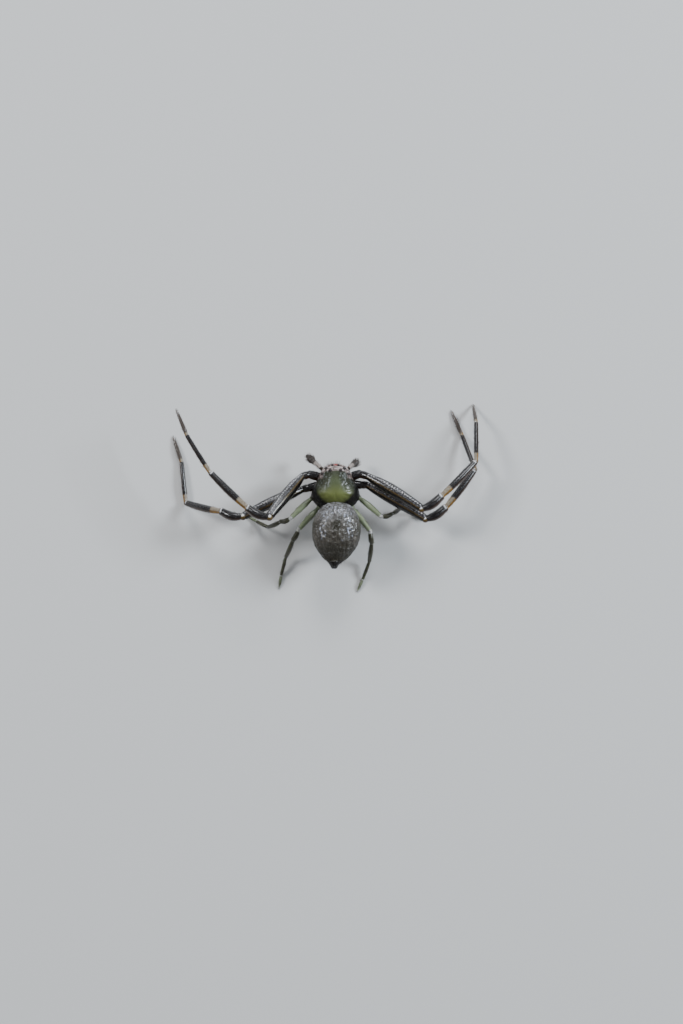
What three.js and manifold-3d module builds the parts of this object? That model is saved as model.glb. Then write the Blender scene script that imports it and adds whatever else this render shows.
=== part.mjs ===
// A male flower crab spider at life size, in millimetres: +Z is up, +Y is the way the spider faces, +X is its
// right. It stands on the plane z = 0 with its left front leg raised. The origin is the middle of its bounding
// box at floor level.
import * as THREE from "three";
import { mergeVertices } from "three/addons/utils/BufferGeometryUtils.js";
import Module from "manifold-3d";

const wasm = await Module();
wasm.setup();

// Driving dimensions
const CARAPACE = {
  width: 1.6,
  front: 0.99,
  back: 0.58,
  middle: -0.25,
  rise: 0.66,
  drop: 0.26,
  marginHeight: 0.95,
  headNarrowing: 0.24,
};
const STERNUM = { middle: [0, -0.02, 0.78], radii: [0.42, 0.52, 0.17] };
const WAIST = { front: [0, -0.5, 0.84], back: [0, -1.0, 0.98], radii: [0.12, 0.09, 0.1] };
const ABDOMEN = {
  width: 1.56,
  length: 2.14,
  rise: 0.56,
  drop: 0.6,
  middle: [0.025, -1.58, 1.38],
  yaw: 3.5,
  pitch: -9,
};
const SPINNERET = { radius: 0.055, length: 0.16, spread: 0.045 };
const CHELICERA = {
  radius: 0.12,
  root: [0.15, 0.5, 0.98],
  tip: [0.13, 0.55, 0.56],
  fangTip: [0.05, 0.52, 0.42],
};
const GAP = 0.03;
const FOOT_HEIGHT = 0.03;
const FLOOR = { side: 30, depth: 2 };

// Fineness of the round forms
const BIG_LEG_SIDES = 10;
const SMALL_LEG_SIDES = 8;
const CAP_STEPS = 2;
const CAP_LENGTH = 0.75;
const BODY_ROUND = [32, 22];

// Colours
const COLOURS = {
  carapace: { color: 0x55582a, roughness: 0.3 },
  abdomen: { color: 0x6a6058, roughness: 0.3 },
  darkLeg: { color: 0x2a1f1c, roughness: 0.3 },
  paleLeg: { color: 0x93a45c, roughness: 0.45 },
  eye: { color: 0x060504, roughness: 0.1 },
  mouth: { color: 0x7d6c58, roughness: 0.5 },
};

// The lengths and greatest radii of the segments of a leg of each pair, front to rear
const LEG_KINDS = {
  front: {
    lengths: { femur: 2.13, patella: 0.77, tibia: 1.69, metatarsus: 1.4, tarsus: 0.93 },
    radii: { hip: 0.15, femur: 0.195, patella: 0.15, tibia: 0.122, metatarsus: 0.078, tarsus: 0.066 },
    sides: BIG_LEG_SIDES,
  },
  second: {
    lengths: { femur: 2.24, patella: 0.76, tibia: 1.62, metatarsus: 1.36, tarsus: 0.9 },
    radii: { hip: 0.15, femur: 0.19, patella: 0.15, tibia: 0.124, metatarsus: 0.078, tarsus: 0.066 },
    sides: BIG_LEG_SIDES,
  },
  third: {
    lengths: { femur: 0.95, patella: 0.38, tibia: 0.66, metatarsus: 0.52, tarsus: 0.4 },
    radii: { hip: 0.11, femur: 0.1, patella: 0.085, tibia: 0.078, metatarsus: 0.058, tarsus: 0.05 },
    sides: SMALL_LEG_SIDES,
  },
  fourth: {
    lengths: { femur: 1.0, patella: 0.4, tibia: 0.8, metatarsus: 0.62, tarsus: 0.44 },
    radii: { hip: 0.12, femur: 0.1, patella: 0.088, tibia: 0.08, metatarsus: 0.058, tarsus: 0.05 },
    sides: SMALL_LEG_SIDES,
  },
};

// How thick each segment is along its length, as shares of its greatest radius
const SEGMENT_FORMS = {
  coxa: [0.95, 1, 0.92],
  trochanter: [0.8, 0.88, 0.8],
  femur: [0.6, 0.86, 0.99, 0.97, 0.86, 0.74],
  patella: [0.74, 0.93, 1, 0.9],
  tibia: [0.74, 0.92, 1, 0.94, 0.82],
  metatarsus: [0.86, 1, 0.96, 0.9],
  tarsus: [0.92, 1, 0.84, 0.5],
};

// How far the middle of each segment bows from a straight line, in radii: backwards, and up
const SEGMENT_BOWS = {
  femur: [-0.1, 0.35],
  patella: [0.5, 0.35],
  tibia: [0.25, 0.3],
  metatarsus: [0.2, 0.4],
  tarsus: [0, 0.2],
};

// Each leg's pose: where its coxa, trochanter and femur begin, then for every further joint the compass heading
// of the segment (degrees from +X towards +Y) and the height above the floor at which the segment ends.
const LEG_POSES = [
  {
    name: "leg_1_right",
    kind: "front",
    hip: [[0.48, 0.3, 0.86], [0.8, 0.4, 0.97], [1.05, 0.3, 1.12]],
    headings: [-32.2, 33.5, 46.2, 89, 96],
    heights: [1.55, 1.5, 1.12, 0.66, FOOT_HEIGHT],
  },
  {
    name: "leg_1_left",
    kind: "front",
    hip: [[-0.48, 0.3, 0.86], [-0.85, 0.38, 0.95], [-1.08, 0.31, 1.02]],
    headings: [-126.2, 156, 136, 122, 112.5],
    heights: [2.15, 2.1, 2.02, 1.96, 1.92],
  },
  {
    name: "leg_2_right",
    kind: "second",
    hip: [[0.5, 0.06, 0.82], [0.82, 0.05, 0.84], [1.02, 0.05, 0.84]],
    headings: [-30.2, 30, 53, 108.5, 113],
    heights: [0.92, 0.88, 0.66, 0.1, FOOT_HEIGHT],
  },
  {
    name: "leg_2_left",
    kind: "second",
    hip: [[-0.5, 0.04, 0.82], [-0.84, -0.04, 0.84], [-1.06, -0.09, 0.84]],
    headings: [-154, 165, 162, 96, 108],
    heights: [1.35, 1.16, 0.14, 0.1, FOOT_HEIGHT],
  },
  {
    name: "leg_3_right",
    kind: "third",
    hip: [[0.42, -0.2, 0.8], [0.66, -0.32, 0.82], [0.78, -0.38, 0.84]],
    headings: [-41, 14, 40, -25, -28],
    heights: [0.98, 0.86, 0.36, 0.08, FOOT_HEIGHT],
  },
  {
    name: "leg_3_left",
    kind: "third",
    hip: [[-0.42, -0.2, 0.8], [-0.66, -0.33, 0.82], [-0.78, -0.4, 0.84]],
    headings: [-136, 198, 197, 150, 150],
    heights: [0.98, 0.86, 0.36, 0.08, FOOT_HEIGHT],
  },
  {
    name: "leg_4_right",
    kind: "fourth",
    hip: [[0.26, -0.42, 0.8], [0.44, -0.6, 0.8], [0.54, -0.7, 0.82]],
    headings: [-53, -82, -98, -111, -114],
    heights: [0.98, 0.86, 0.3, 0.08, FOOT_HEIGHT],
  },
  {
    name: "leg_4_left",
    kind: "fourth",
    hip: [[-0.26, -0.42, 0.8], [-0.44, -0.6, 0.8], [-0.54, -0.7, 0.82]],
    headings: [-132, -118, -116, -105, -100],
    heights: [0.98, 0.86, 0.3, 0.08, FOOT_HEIGHT],
  },
];

// Each pair of eyes: across from the middle line, along the head, the radius of the lens, and that of the low
// mound it sits on
const EYES = [
  { name: "median_front", across: 0.1, along: 0.64, radius: 0.034, mound: 0.05 },
  { name: "lateral_front", across: 0.3, along: 0.54, radius: 0.05, mound: 0.1 },
  { name: "median_rear", across: 0.17, along: 0.46, radius: 0.036, mound: 0.05 },
  { name: "lateral_rear", across: 0.43, along: 0.36, radius: 0.045, mound: 0.1 },
];

// The places of a palp's joints, and the greatest radii of its lengths
const PALPS = {
  left: [[-0.3, 0.46, 0.76], [-0.5, 0.62, 0.92], [-0.6, 0.72, 0.84], [-0.7, 0.81, 0.76], [-0.92, 1.03, 0.62]],
  right: [[0.3, 0.46, 0.76], [0.46, 0.62, 0.9], [0.52, 0.68, 0.8], [0.58, 0.73, 0.7], [0.73, 0.86, 0.46]],
};
const PALP_RADII = [0.065, 0.07, 0.07, 0.12];

// The lobes of the mouth, seen from below: middle and radii
const MOUTH = {
  labium: { middle: [0, 0.38, 0.66], radii: [0.1, 0.09, 0.06] },
  endite: { middle: [0.15, 0.48, 0.66], radii: [0.09, 0.17, 0.08] },
};

const SIDES = [["left", -1], ["right", 1]];
const UP_Y = new THREE.Vector3(0, 1, 0);
const v3 = (p) => (p.isVector3 ? p.clone() : new THREE.Vector3(...p));
const rad = THREE.MathUtils.degToRad;
const smooth = THREE.MathUtils.smoothstep;
const mirrored = (p, sign) => new THREE.Vector3(p[0] * sign, p[1], p[2]);

// A closed three.js geometry as a solid that can be joined and cut
function solid(geometry) {
  const bare = geometry.clone();
  bare.deleteAttribute("normal");
  bare.deleteAttribute("uv");
  const merged = mergeVertices(bare, 1e-5);
  return new wasm.Manifold(
    new wasm.Mesh({
      numProp: 3,
      vertProperties: merged.attributes.position.array,
      triVerts: new Uint32Array(merged.index.array),
    }),
  );
}

// The largest closed surface of a solid, as a geometry
function geometryOf(made) {
  const whole = made.decompose().sort((a, b) => b.volume() - a.volume())[0];
  const mesh = whole.getMesh();
  const points = new Float32Array(mesh.numVert * 3);
  for (let i = 0; i < mesh.numVert; i++) {
    points.set(mesh.vertProperties.subarray(i * mesh.numProp, i * mesh.numProp + 3), i * 3);
  }
  return new THREE.BufferGeometry()
    .setAttribute("position", new THREE.BufferAttribute(points, 3))
    .setIndex(new THREE.BufferAttribute(mesh.triVerts, 1));
}

const join = (solids) => solids.reduce((whole, next) => whole.add(next));
const cut = (whole, tools) => tools.reduce((left, tool) => left.subtract(tool), whole);

// A unit ball whose every point is moved by a function
function shapedBall(around, along, shape) {
  const ball = new THREE.SphereGeometry(1, around, along);
  const place = ball.attributes.position;
  for (let i = 0; i < place.count; i++) {
    const p = shape(new THREE.Vector3().fromBufferAttribute(place, i));
    place.setXYZ(i, p.x, p.y, p.z);
  }
  return solid(ball);
}

const ballAt = (middle, radii, grow = 0, sides = 10) =>
  shapedBall(sides, Math.round(sides * 0.7), (p) => p.multiply(v3(radii).addScalar(grow)).add(v3(middle)));

// A length of limb between two points, with round ends that reach past them. radii are its radius at evenly
// spaced places, bow moves its middle sideways, and grow makes it fatter all over, for cutting clearance.
function limb(from, to, radii, { sides = SMALL_LEG_SIDES, bow = [0, 0, 0], grow = 0 } = {}) {
  const start = v3(from);
  const way = v3(to).sub(start);
  const length = way.length();
  const last = radii.length - 1;
  const lean = (step) => (Math.PI / 2) * (step / CAP_STEPS);
  const profile = [];
  for (let i = 0; i < CAP_STEPS; i++) {
    const r = radii[0] + grow;
    profile.push(new THREE.Vector2(r * Math.sin(lean(i)), -(r * CAP_LENGTH) * Math.cos(lean(i))));
  }
  radii.forEach((r, i) => profile.push(new THREE.Vector2(r + grow, (length * i) / last)));
  for (let i = CAP_STEPS - 1; i >= 0; i--) {
    const r = radii[last] + grow;
    profile.push(new THREE.Vector2(r * Math.sin(lean(i)), length + r * CAP_LENGTH * Math.cos(lean(i))));
  }
  const lathe = new THREE.LatheGeometry(profile, sides);
  const turn = new THREE.Quaternion().setFromUnitVectors(UP_Y, way.normalize());
  const place = lathe.attributes.position;
  for (let i = 0; i < place.count; i++) {
    const p = new THREE.Vector3().fromBufferAttribute(place, i);
    const arch = Math.sin(Math.PI * THREE.MathUtils.clamp(p.y / length, 0, 1));
    p.applyQuaternion(turn).add(start).addScaledVector(v3(bow), arch);
    place.setXYZ(i, p.x, p.y, p.z);
  }
  return solid(lathe);
}

// The joints of a leg, from the hip to the tip of the foot
function jointsOf(pose) {
  const joints = pose.hip.map(v3);
  Object.values(LEG_KINDS[pose.kind].lengths).forEach((length, i) => {
    const last = joints[joints.length - 1];
    const drop = pose.heights[i] - last.z;
    const run = Math.sqrt(length * length - drop * drop);
    const heading = rad(pose.headings[i]);
    joints.push(last.clone().add(new THREE.Vector3(run * Math.cos(heading), run * Math.sin(heading), drop)));
  });
  return joints;
}

// The three lengths that a leg is made in, each as a solid, fattened by grow where it is to cut a neighbour
function legSolids(pose, grow) {
  const { radii, sides } = LEG_KINDS[pose.kind];
  const [coxa, trochanter, hip, knee, shin, ankle, toe, tip] = jointsOf(pose);
  const segment = (name, from, to, pullBack) => {
    const radius = radii[name] ?? radii.hip;
    const form = SEGMENT_FORMS[name].map((share) => share * radius);
    const [back, up] = SEGMENT_BOWS[name] ?? [0, 0];
    const end = form[form.length - 1] * CAP_LENGTH * pullBack;
    const stop = v3(to).addScaledVector(v3(to).sub(from).normalize(), -end);
    return limb(from, stop, form, { sides, grow, bow: [0, -back * radius, up * radius] });
  };
  return {
    femur: join([
      segment("coxa", coxa, trochanter, 0),
      segment("trochanter", trochanter, hip, 0),
      segment("femur", hip, knee, 1),
    ]),
    tibia: join([segment("patella", knee, shin, 0.3), segment("tibia", shin, ankle, 1)]),
    tarsus: join([segment("metatarsus", ankle, toe, 0.3), segment("tarsus", toe, tip, 1)]),
  };
}

// A point of the carapace, from a point of the unit ball: domed above, shallow below, broad and round behind,
// with a narrower, blunt head
function carapacePoint(p) {
  const head = smooth(p.y, -0.1, 0.5);
  const face = smooth(p.y, 0.6, 1);
  const rear = smooth(-p.y, 0.1, 1);
  const along = p.y > 0 ? CARAPACE.front * p.y ** 0.8 : CARAPACE.back * p.y;
  const rise = CARAPACE.rise * Math.abs(p.z) ** 0.85 * (1 - 0.22 * rear) * (1 - 0.1 * head);
  return new THREE.Vector3(
    (CARAPACE.width / 2) * p.x * (1 - CARAPACE.headNarrowing * head + 0.1 * face),
    CARAPACE.middle + along,
    CARAPACE.marginHeight + 0.05 * head + (p.z > 0 ? rise : CARAPACE.drop * p.z),
  );
}

// The height of the top of the carapace at a place on the plan, found by steps on the unit ball
function carapaceHeight(x, y) {
  const p = new THREE.Vector3(0, 0, 1);
  for (let step = 0; step < 60; step++) {
    const reached = carapacePoint(p);
    p.x += (x - reached.x) * 0.5;
    p.y += (y - reached.y) * 0.5;
    p.z = Math.sqrt(Math.max(0, 1 - p.x * p.x - p.y * p.y));
  }
  return carapacePoint(p).z;
}

const abdomenTurn = new THREE.Euler(rad(ABDOMEN.pitch), 0, rad(-ABDOMEN.yaw));

// A point of the abdomen, from a point of the unit ball: an egg whose sides run straight to a blunt tail
function abdomenPoint(p, grow = 0) {
  const rear = smooth(-p.y, 0, 1);
  const taper = p.y < 0 ? 1 - 0.5 * Math.abs(p.y) ** 2.5 : 1 + 0.13 * p.y;
  const rise = p.z > 0 ? ABDOMEN.rise : ABDOMEN.drop;
  return new THREE.Vector3(
    (ABDOMEN.width / 2 + grow) * p.x * taper,
    (ABDOMEN.length / 2 + grow) * p.y,
    (rise + grow) * p.z * taper - 0.18 * rear,
  )
    .applyEuler(abdomenTurn)
    .add(v3(ABDOMEN.middle));
}

function spinnerets(grow = 0) {
  const place = abdomenPoint(new THREE.Vector3(0, -0.97, 0));
  const cones = [1, -1].flatMap((row) =>
    [-1, 1].map((side) => {
      const root = place.clone().add(new THREE.Vector3(side * SPINNERET.spread, 0.06, row * 0.04));
      const tip = root.clone().add(new THREE.Vector3(side * 0.01, -SPINNERET.length, row * 0.01 - 0.03));
      return limb(root, tip, [SPINNERET.radius, SPINNERET.radius * 0.5], { sides: 8, grow });
    }),
  );
  return join(cones);
}

function chelicera(sign, grow = 0) {
  const { radius, root, tip, fangTip } = CHELICERA;
  const base = [0.85, 1, 0.95, 0.7].map((share) => share * radius);
  return join([
    limb(mirrored(root, sign), mirrored(tip, sign), base, { sides: 10, grow }),
    limb(mirrored(tip, sign), mirrored(fangTip, sign), [0.045, 0.032, 0.012], { sides: 6, grow }),
  ]);
}

function pedipalp(side, grow = 0) {
  const joints = PALPS[side];
  const forms = [[0.9, 1, 0.95], [0.95, 1, 0.95], [0.9, 1, 1], [0.75, 1, 0.9, 0.5]];
  const lengths = forms.map((form, i) =>
    limb(joints[i], joints[i + 1], form.map((share) => share * PALP_RADII[i]), { grow }),
  );
  return join(lengths);
}

const group = new THREE.Group();
const model = new THREE.Group();
group.add(model);

function add(name, made, look) {
  const mesh = new THREE.Mesh(geometryOf(made), new THREE.MeshStandardMaterial({ ...look, metalness: 0 }));
  mesh.name = name;
  model.add(mesh);
}

const floorBlock = new THREE.BoxGeometry(FLOOR.side, FLOOR.side, FLOOR.depth);
const floor = solid(floorBlock.translate(0, 0, -FLOOR.depth / 2));

// Legs, each length cut clear of the next one out
const bodyCuts = [];
for (const pose of LEG_POSES) {
  const own = legSolids(pose, 0);
  const wide = legSolids(pose, GAP);
  const look = LEG_KINDS[pose.kind].sides === BIG_LEG_SIDES ? COLOURS.darkLeg : COLOURS.paleLeg;
  add(`${pose.name}_femur`, cut(own.femur, [wide.tibia]), look);
  add(`${pose.name}_tibia`, cut(own.tibia, [wide.tarsus, floor]), look);
  add(`${pose.name}_tarsus`, cut(own.tarsus, [floor]), look);
  bodyCuts.push(wide.femur);
}

// Eyes, each sunk in a socket in its own low mound
const mounds = [];
for (const eye of EYES) {
  for (const [side, sign] of SIDES) {
    const x = sign * eye.across;
    const place = new THREE.Vector3(x, eye.along, carapaceHeight(x, eye.along));
    const lens = Array(3).fill(eye.radius);
    add(`eye_${eye.name}_${side}`, ballAt(place, lens, 0, 8), COLOURS.eye);
    bodyCuts.push(ballAt(place, lens, GAP / 2, 8));
    mounds.push(ballAt(place.clone().setZ(place.z - eye.mound / 2), Array(3).fill(eye.mound)));
  }
}

// Mouthparts
for (const [side, sign] of SIDES) {
  const endite = [mirrored(MOUTH.endite.middle, sign), MOUTH.endite.radii];
  add(`chelicera_${side}`, chelicera(sign), COLOURS.mouth);
  add(`pedipalp_${side}`, pedipalp(side), COLOURS.mouth);
  add(`endite_${side}`, cut(ballAt(...endite), [pedipalp(side, GAP), chelicera(sign, GAP)]), COLOURS.mouth);
  bodyCuts.push(chelicera(sign, GAP), pedipalp(side, GAP), ballAt(...endite, GAP));
}
const labium = [MOUTH.labium.middle, MOUTH.labium.radii];
const endites = SIDES.map(([, sign]) => ballAt(mirrored(MOUTH.endite.middle, sign), MOUTH.endite.radii, GAP));
add("labium", cut(ballAt(...labium), endites), COLOURS.mouth);
bodyCuts.push(ballAt(...labium, GAP));

// Abdomen
add("spinnerets", spinnerets(), COLOURS.abdomen);
add("abdomen", cut(shapedBall(...BODY_ROUND, (p) => abdomenPoint(p)), [spinnerets(GAP)]), COLOURS.abdomen);
bodyCuts.push(shapedBall(...BODY_ROUND, (p) => abdomenPoint(p, GAP)));

// Carapace, breastplate and the narrow waist behind them
const trunk = join([
  shapedBall(...BODY_ROUND, carapacePoint),
  ballAt(STERNUM.middle, STERNUM.radii, 0, 18),
  limb(WAIST.front, WAIST.back, WAIST.radii),
  ...mounds,
]);
add("cephalothorax", cut(trunk, bodyCuts), COLOURS.carapace);

const box = new THREE.Box3().setFromObject(model);
const middle = box.getCenter(new THREE.Vector3());
model.position.set(-middle.x, -middle.y, -box.min.z);

export default group;
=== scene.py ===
"""A male flower crab spider at life size, dressed on its measured frame.

Sizes are in millimetres in the body's own frame until a mesh is made: +Y is the way the spider faces, +X is
its right, and the floor is at height 0.
"""
import logging
import math
from dataclasses import dataclass, field
from enum import Enum
from typing import Callable, Sequence

import bpy
import numpy as np
from mathutils import Matrix, Vector


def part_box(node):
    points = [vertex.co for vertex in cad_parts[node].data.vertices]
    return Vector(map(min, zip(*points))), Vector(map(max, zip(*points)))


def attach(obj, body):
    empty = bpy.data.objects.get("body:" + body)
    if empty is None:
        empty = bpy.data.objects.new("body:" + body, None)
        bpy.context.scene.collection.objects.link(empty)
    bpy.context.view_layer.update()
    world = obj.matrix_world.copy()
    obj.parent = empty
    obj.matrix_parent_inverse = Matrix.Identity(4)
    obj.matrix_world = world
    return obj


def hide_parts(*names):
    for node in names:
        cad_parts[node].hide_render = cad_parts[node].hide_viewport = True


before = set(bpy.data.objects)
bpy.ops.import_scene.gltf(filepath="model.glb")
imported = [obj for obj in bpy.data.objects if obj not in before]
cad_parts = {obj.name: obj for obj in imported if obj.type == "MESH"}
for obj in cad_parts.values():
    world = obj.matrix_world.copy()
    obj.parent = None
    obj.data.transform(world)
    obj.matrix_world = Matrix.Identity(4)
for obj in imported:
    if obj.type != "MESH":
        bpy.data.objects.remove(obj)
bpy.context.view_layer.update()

Array = np.ndarray
Colour = tuple[float, float, float]
Point = Sequence[float]

LOG = logging.getLogger("crab_spider")
MM = 0.001
BODY = "root"
SKIN_INSET = 0.985
CAP_LENGTH = 0.75
CAP_RINGS = 7
BAKE_MAP = "OFBake"
BAKE_PATCH = 0.003
HAIR_FLOOR = 0.002
CLAW_FLOOR = 0.008
FOOT = 0.03
DRAW_SEED = 20


@dataclass(frozen=True)
class Eye:
    """An eye on each side: its place on the plan, and the sizes of its lens, mound and dark ring."""

    name: str
    across: float
    along: float
    radius: float
    mound: float
    ring: float


EYES = (
    Eye("median_front", across=0.1, along=0.64, radius=0.034, mound=0.02, ring=0.05),
    Eye("lateral_front", across=0.3, along=0.54, radius=0.05, mound=0.036, ring=0.065),
    Eye("median_rear", across=0.17, along=0.46, radius=0.036, mound=0.02, ring=0.07),
    Eye("lateral_rear", across=0.43, along=0.36, radius=0.045, mound=0.036, ring=0.06),
)
MARK_EYE = EYES[2]
MARK_NODE = "eye_median_rear_right"


def frame_shift() -> Array:
    """Finds where the body's own origin lies in the frame, from the centre of one eye's solid.

    Returns:
        The shift in millimetres.
    """
    low, high = (np.array(corner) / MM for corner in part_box(MARK_NODE))
    centre = (low + high) / 2
    return np.array([centre[0] - MARK_EYE.across, centre[1] - MARK_EYE.along, 0.0])


SHIFT = frame_shift()


def smoothstep(value: Array, low: float, high: float) -> Array:
    """Rises smoothly from 0 at low to 1 at high.

    Args:
        value: What rises.
        low: Where it leaves 0.
        high: Where it reaches 1.

    Returns:
        The risen share, from 0 to 1.
    """
    share = np.clip((np.asarray(value, float) - low) / (high - low), 0, 1)
    return share * share * (3 - 2 * share)


def bell(value: Array, middle: Array | float, spread: float) -> Array:
    """Is 1 at middle and dies away to either side, faster with a small spread."""
    return np.exp(-(((value - middle) / spread) ** 2))


def oval(x: Array, y: Array, middle: Point, radii: Point) -> Array:
    """How far out each place lies, as 1 on the oval with that middle and those radii."""
    return np.hypot((x - middle[0]) / radii[0], (y - middle[1]) / radii[1])


def unit(vectors: Array) -> Array:
    """Gives each vector the length 1."""
    return vectors / np.maximum(np.linalg.norm(vectors, axis=-1, keepdims=True), 1e-12)


def waves(points: Array, scale: float, seed: int, count: int = 14) -> Array:
    """Adds up plane waves in drawn directions, for an uneven surface.

    Args:
        points: Where to read it.
        scale: Waves for each millimetre.
        seed: What the draw starts from.
        count: How many waves there are.

    Returns:
        A value near -1 to 1 for each point.
    """
    draw = np.random.default_rng(seed)
    ways = unit(draw.normal(size=(count, 3))) * scale * draw.uniform(0.6, 1.5, (count, 1)) * 2 * math.pi
    return np.sin(points @ ways.T + draw.uniform(0, 2 * math.pi, count)).sum(axis=1) / math.sqrt(count)


class Side(Enum):
    """A side of the body, with its sign along X."""

    LEFT = -1
    RIGHT = 1

    @property
    def word(self) -> str:
        """The side's name as the nodes spell it."""
        return self.name.lower()


class Slot(Enum):
    """The record's material slots."""

    CARAPACE = "carapace"
    ABDOMEN = "abdomen"
    DARK_LEG = "dark_leg"
    PALE_LEG = "pale_leg"
    MOUTH = "mouthparts"
    EYE = "eye"


class Cell(Enum):
    """What the distance is measured to in a pattern of cells."""

    CENTRE = "F1"
    EDGE = "DISTANCE_TO_EDGE"


# Shader maths

class Wire:
    """A socket of a material, that takes part in sums."""

    def __init__(self, maker: "Shader", socket: bpy.types.NodeSocket) -> None:
        """Keeps the socket and the shader it belongs to."""
        self.maker = maker
        self.socket = socket

    def sum(self, operation: str, *values: "Wire | float") -> "Wire":
        """Adds a Math node that works on the values in order."""
        return self.maker.node("ShaderNodeMath", {"operation": operation}, dict(enumerate(values)))

    def __add__(self, other: "Wire | float") -> "Wire":
        """Adds."""
        return self.sum("ADD", self, other)

    def __sub__(self, other: "Wire | float") -> "Wire":
        """Takes away."""
        return self.sum("SUBTRACT", self, other)

    def __rsub__(self, other: float) -> "Wire":
        """Is taken away from a number."""
        return self.sum("SUBTRACT", other, self)

    def __mul__(self, other: "Wire | float") -> "Wire":
        """Multiplies."""
        return self.sum("MULTIPLY", self, other)

    def __truediv__(self, other: "Wire | float") -> "Wire":
        """Divides."""
        return self.sum("DIVIDE", self, other)

    def __pow__(self, power: float) -> "Wire":
        """Raises to a power."""
        return self.sum("POWER", self, power)

    def __abs__(self) -> "Wire":
        """Drops the sign."""
        return self.sum("ABSOLUTE", self)

    def most(self, other: "Wire | float") -> "Wire":
        """The greater of two."""
        return self.sum("MAXIMUM", self, other)

    def swing(self, reach: float) -> "Wire":
        """Turns 0 to 1 into a swing about 0, from end to end as wide as reach."""
        return (self - 0.5) * reach

    __radd__ = __add__
    __rmul__ = __mul__


class Shader:
    """A material in the making."""

    def __init__(self, name: str) -> None:
        """Starts an empty material.

        Args:
            name: The material's name.
        """
        self.material = bpy.data.materials.new(name)
        self.material.use_nodes = True
        self.tree = self.material.node_tree
        self.tree.nodes.clear()

    def node(
        self,
        kind: str,
        settings: dict[str, object] | None = None,
        sockets: dict[int | str, object] | None = None,
        output: int | str = 0,
    ) -> Wire:
        """Adds any node.

        Args:
            kind: The node's type.
            settings: Its properties, set first.
            sockets: The value or wire of each of its inputs.
            output: Which of its outputs to hand back.

        Returns:
            The wire of that output.
        """
        made = self.tree.nodes.new(kind)
        for name, value in (settings or {}).items():
            setattr(made, name, value)
        for key, value in (sockets or {}).items():
            if isinstance(value, Wire):
                self.tree.links.new(value.socket, made.inputs[key])
            else:
                made.inputs[key].default_value = value
        return Wire(self, made.outputs[output])

    def place(self) -> Wire:
        """Finds the point on the surface, in the body's own frame.

        Returns:
            Its three numbers in millimetres.
        """
        seen = self.node("ShaderNodeTexCoord", output="Object")
        sockets = {0: seen, 1: (1 / MM,) * 3, 2: tuple(-SHIFT)}
        return self.node("ShaderNodeVectorMath", {"operation": "MULTIPLY_ADD"}, sockets)

    def axes(self, vector: Wire) -> tuple[Wire, Wire, Wire]:
        """Splits a vector into its three numbers."""
        split = self.node("ShaderNodeSeparateXYZ", sockets={0: vector}).socket.node
        return Wire(self, split.outputs[0]), Wire(self, split.outputs[1]), Wire(self, split.outputs[2])

    def stretched(self, vector: Wire, scale: Point) -> Wire:
        """Scales a vector along each axis."""
        return self.node("ShaderNodeVectorMath", {"operation": "MULTIPLY"}, {0: vector, 1: tuple(scale)})

    def vector(self, x: Wire | float, y: Wire | float, z: Wire | float) -> Wire:
        """Joins three numbers into a vector."""
        return self.node("ShaderNodeCombineXYZ", sockets={0: x, 1: y, 2: z})

    def mark(self, name: str) -> Wire:
        """A named value that the mesh carries on its points."""
        return self.node("ShaderNodeAttribute", {"attribute_name": name}, output="Fac")

    def noise(self, vector: Wire, scale: float, detail: float = 3.0, roughness: float = 0.55) -> Wire:
        """A cloudy pattern from 0 to 1, with scale clouds to a millimetre."""
        sockets = {"Vector": vector, "Scale": scale, "Detail": detail, "Roughness": roughness}
        return self.node("ShaderNodeTexNoise", sockets=sockets)

    def cells(self, vector: Wire, scale: float, feature: Cell = Cell.CENTRE) -> Wire:
        """The distance to the centre or the edge of the nearest cell, with scale cells to a millimetre."""
        sockets = {"Vector": vector, "Scale": scale}
        return self.node("ShaderNodeTexVoronoi", {"feature": feature.value}, sockets, "Distance")

    def rise(self, value: Wire, low: float, high: float) -> Wire:
        """Rises smoothly from 0 at low to 1 at high, or falls where low is the greater.

        Args:
            value: What rises.
            low: Where it is 0.
            high: Where it is 1.

        Returns:
            The risen share, from 0 to 1.
        """
        if low > high:
            return 1 - self.rise(value, high, low)
        settings = {"interpolation_type": "SMOOTHSTEP", "clamp": True}
        return self.node("ShaderNodeMapRange", settings, {0: value, 1: low, 2: high})

    def ripple(self, value: Wire, height: float) -> Wire:
        """Goes up from 0 to height and down again, over and over."""
        return value.sum("PINGPONG", value, height)

    def hill(self, value: Wire, middle: float, spread: float) -> Wire:
        """Is 1 at middle and falls smoothly to 0 at spread to either side."""
        return self.rise(abs(value - middle), spread, 0.0)

    def oval(self, x: Wire, y: Wire, middle: Point, radii: Sequence[Wire | float]) -> Wire:
        """How far out a place lies, as 1 on the oval with that middle and those radii."""
        across, along = (x - middle[0]) / radii[0], (y - middle[1]) / radii[1]
        return (across ** 2.0 + along ** 2.0) ** 0.5

    def blend(self, share: Wire | float, first: Wire | Colour, second: Wire | Colour) -> Wire:
        """Mixes two colours, the second by its share.

        Args:
            share: How much of the second is taken.
            first: The colour at 0.
            second: The colour at 1.

        Returns:
            The mixed colour.
        """
        sockets = {0: share}
        for key, colour in ((6, first), (7, second)):
            sockets[key] = colour if isinstance(colour, Wire) else (*colour, 1.0)
        return self.node("ShaderNodeMix", {"data_type": "RGBA"}, sockets, 2)

    def bump(self, height: Wire, depth: float, under: Wire | None = None) -> Wire:
        """Raises the surface by height times depth millimetres.

        Args:
            height: The relief, about 0 to 1.
            depth: What 1 of it stands for, in millimetres.
            under: A relief that this one lies on.

        Returns:
            The leaning direction of the surface.
        """
        sockets: dict[int | str, object] = {"Distance": depth * MM, "Height": height}
        if under is not None:
            sockets["Normal"] = under
        return self.node("ShaderNodeBump", sockets=sockets)

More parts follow.
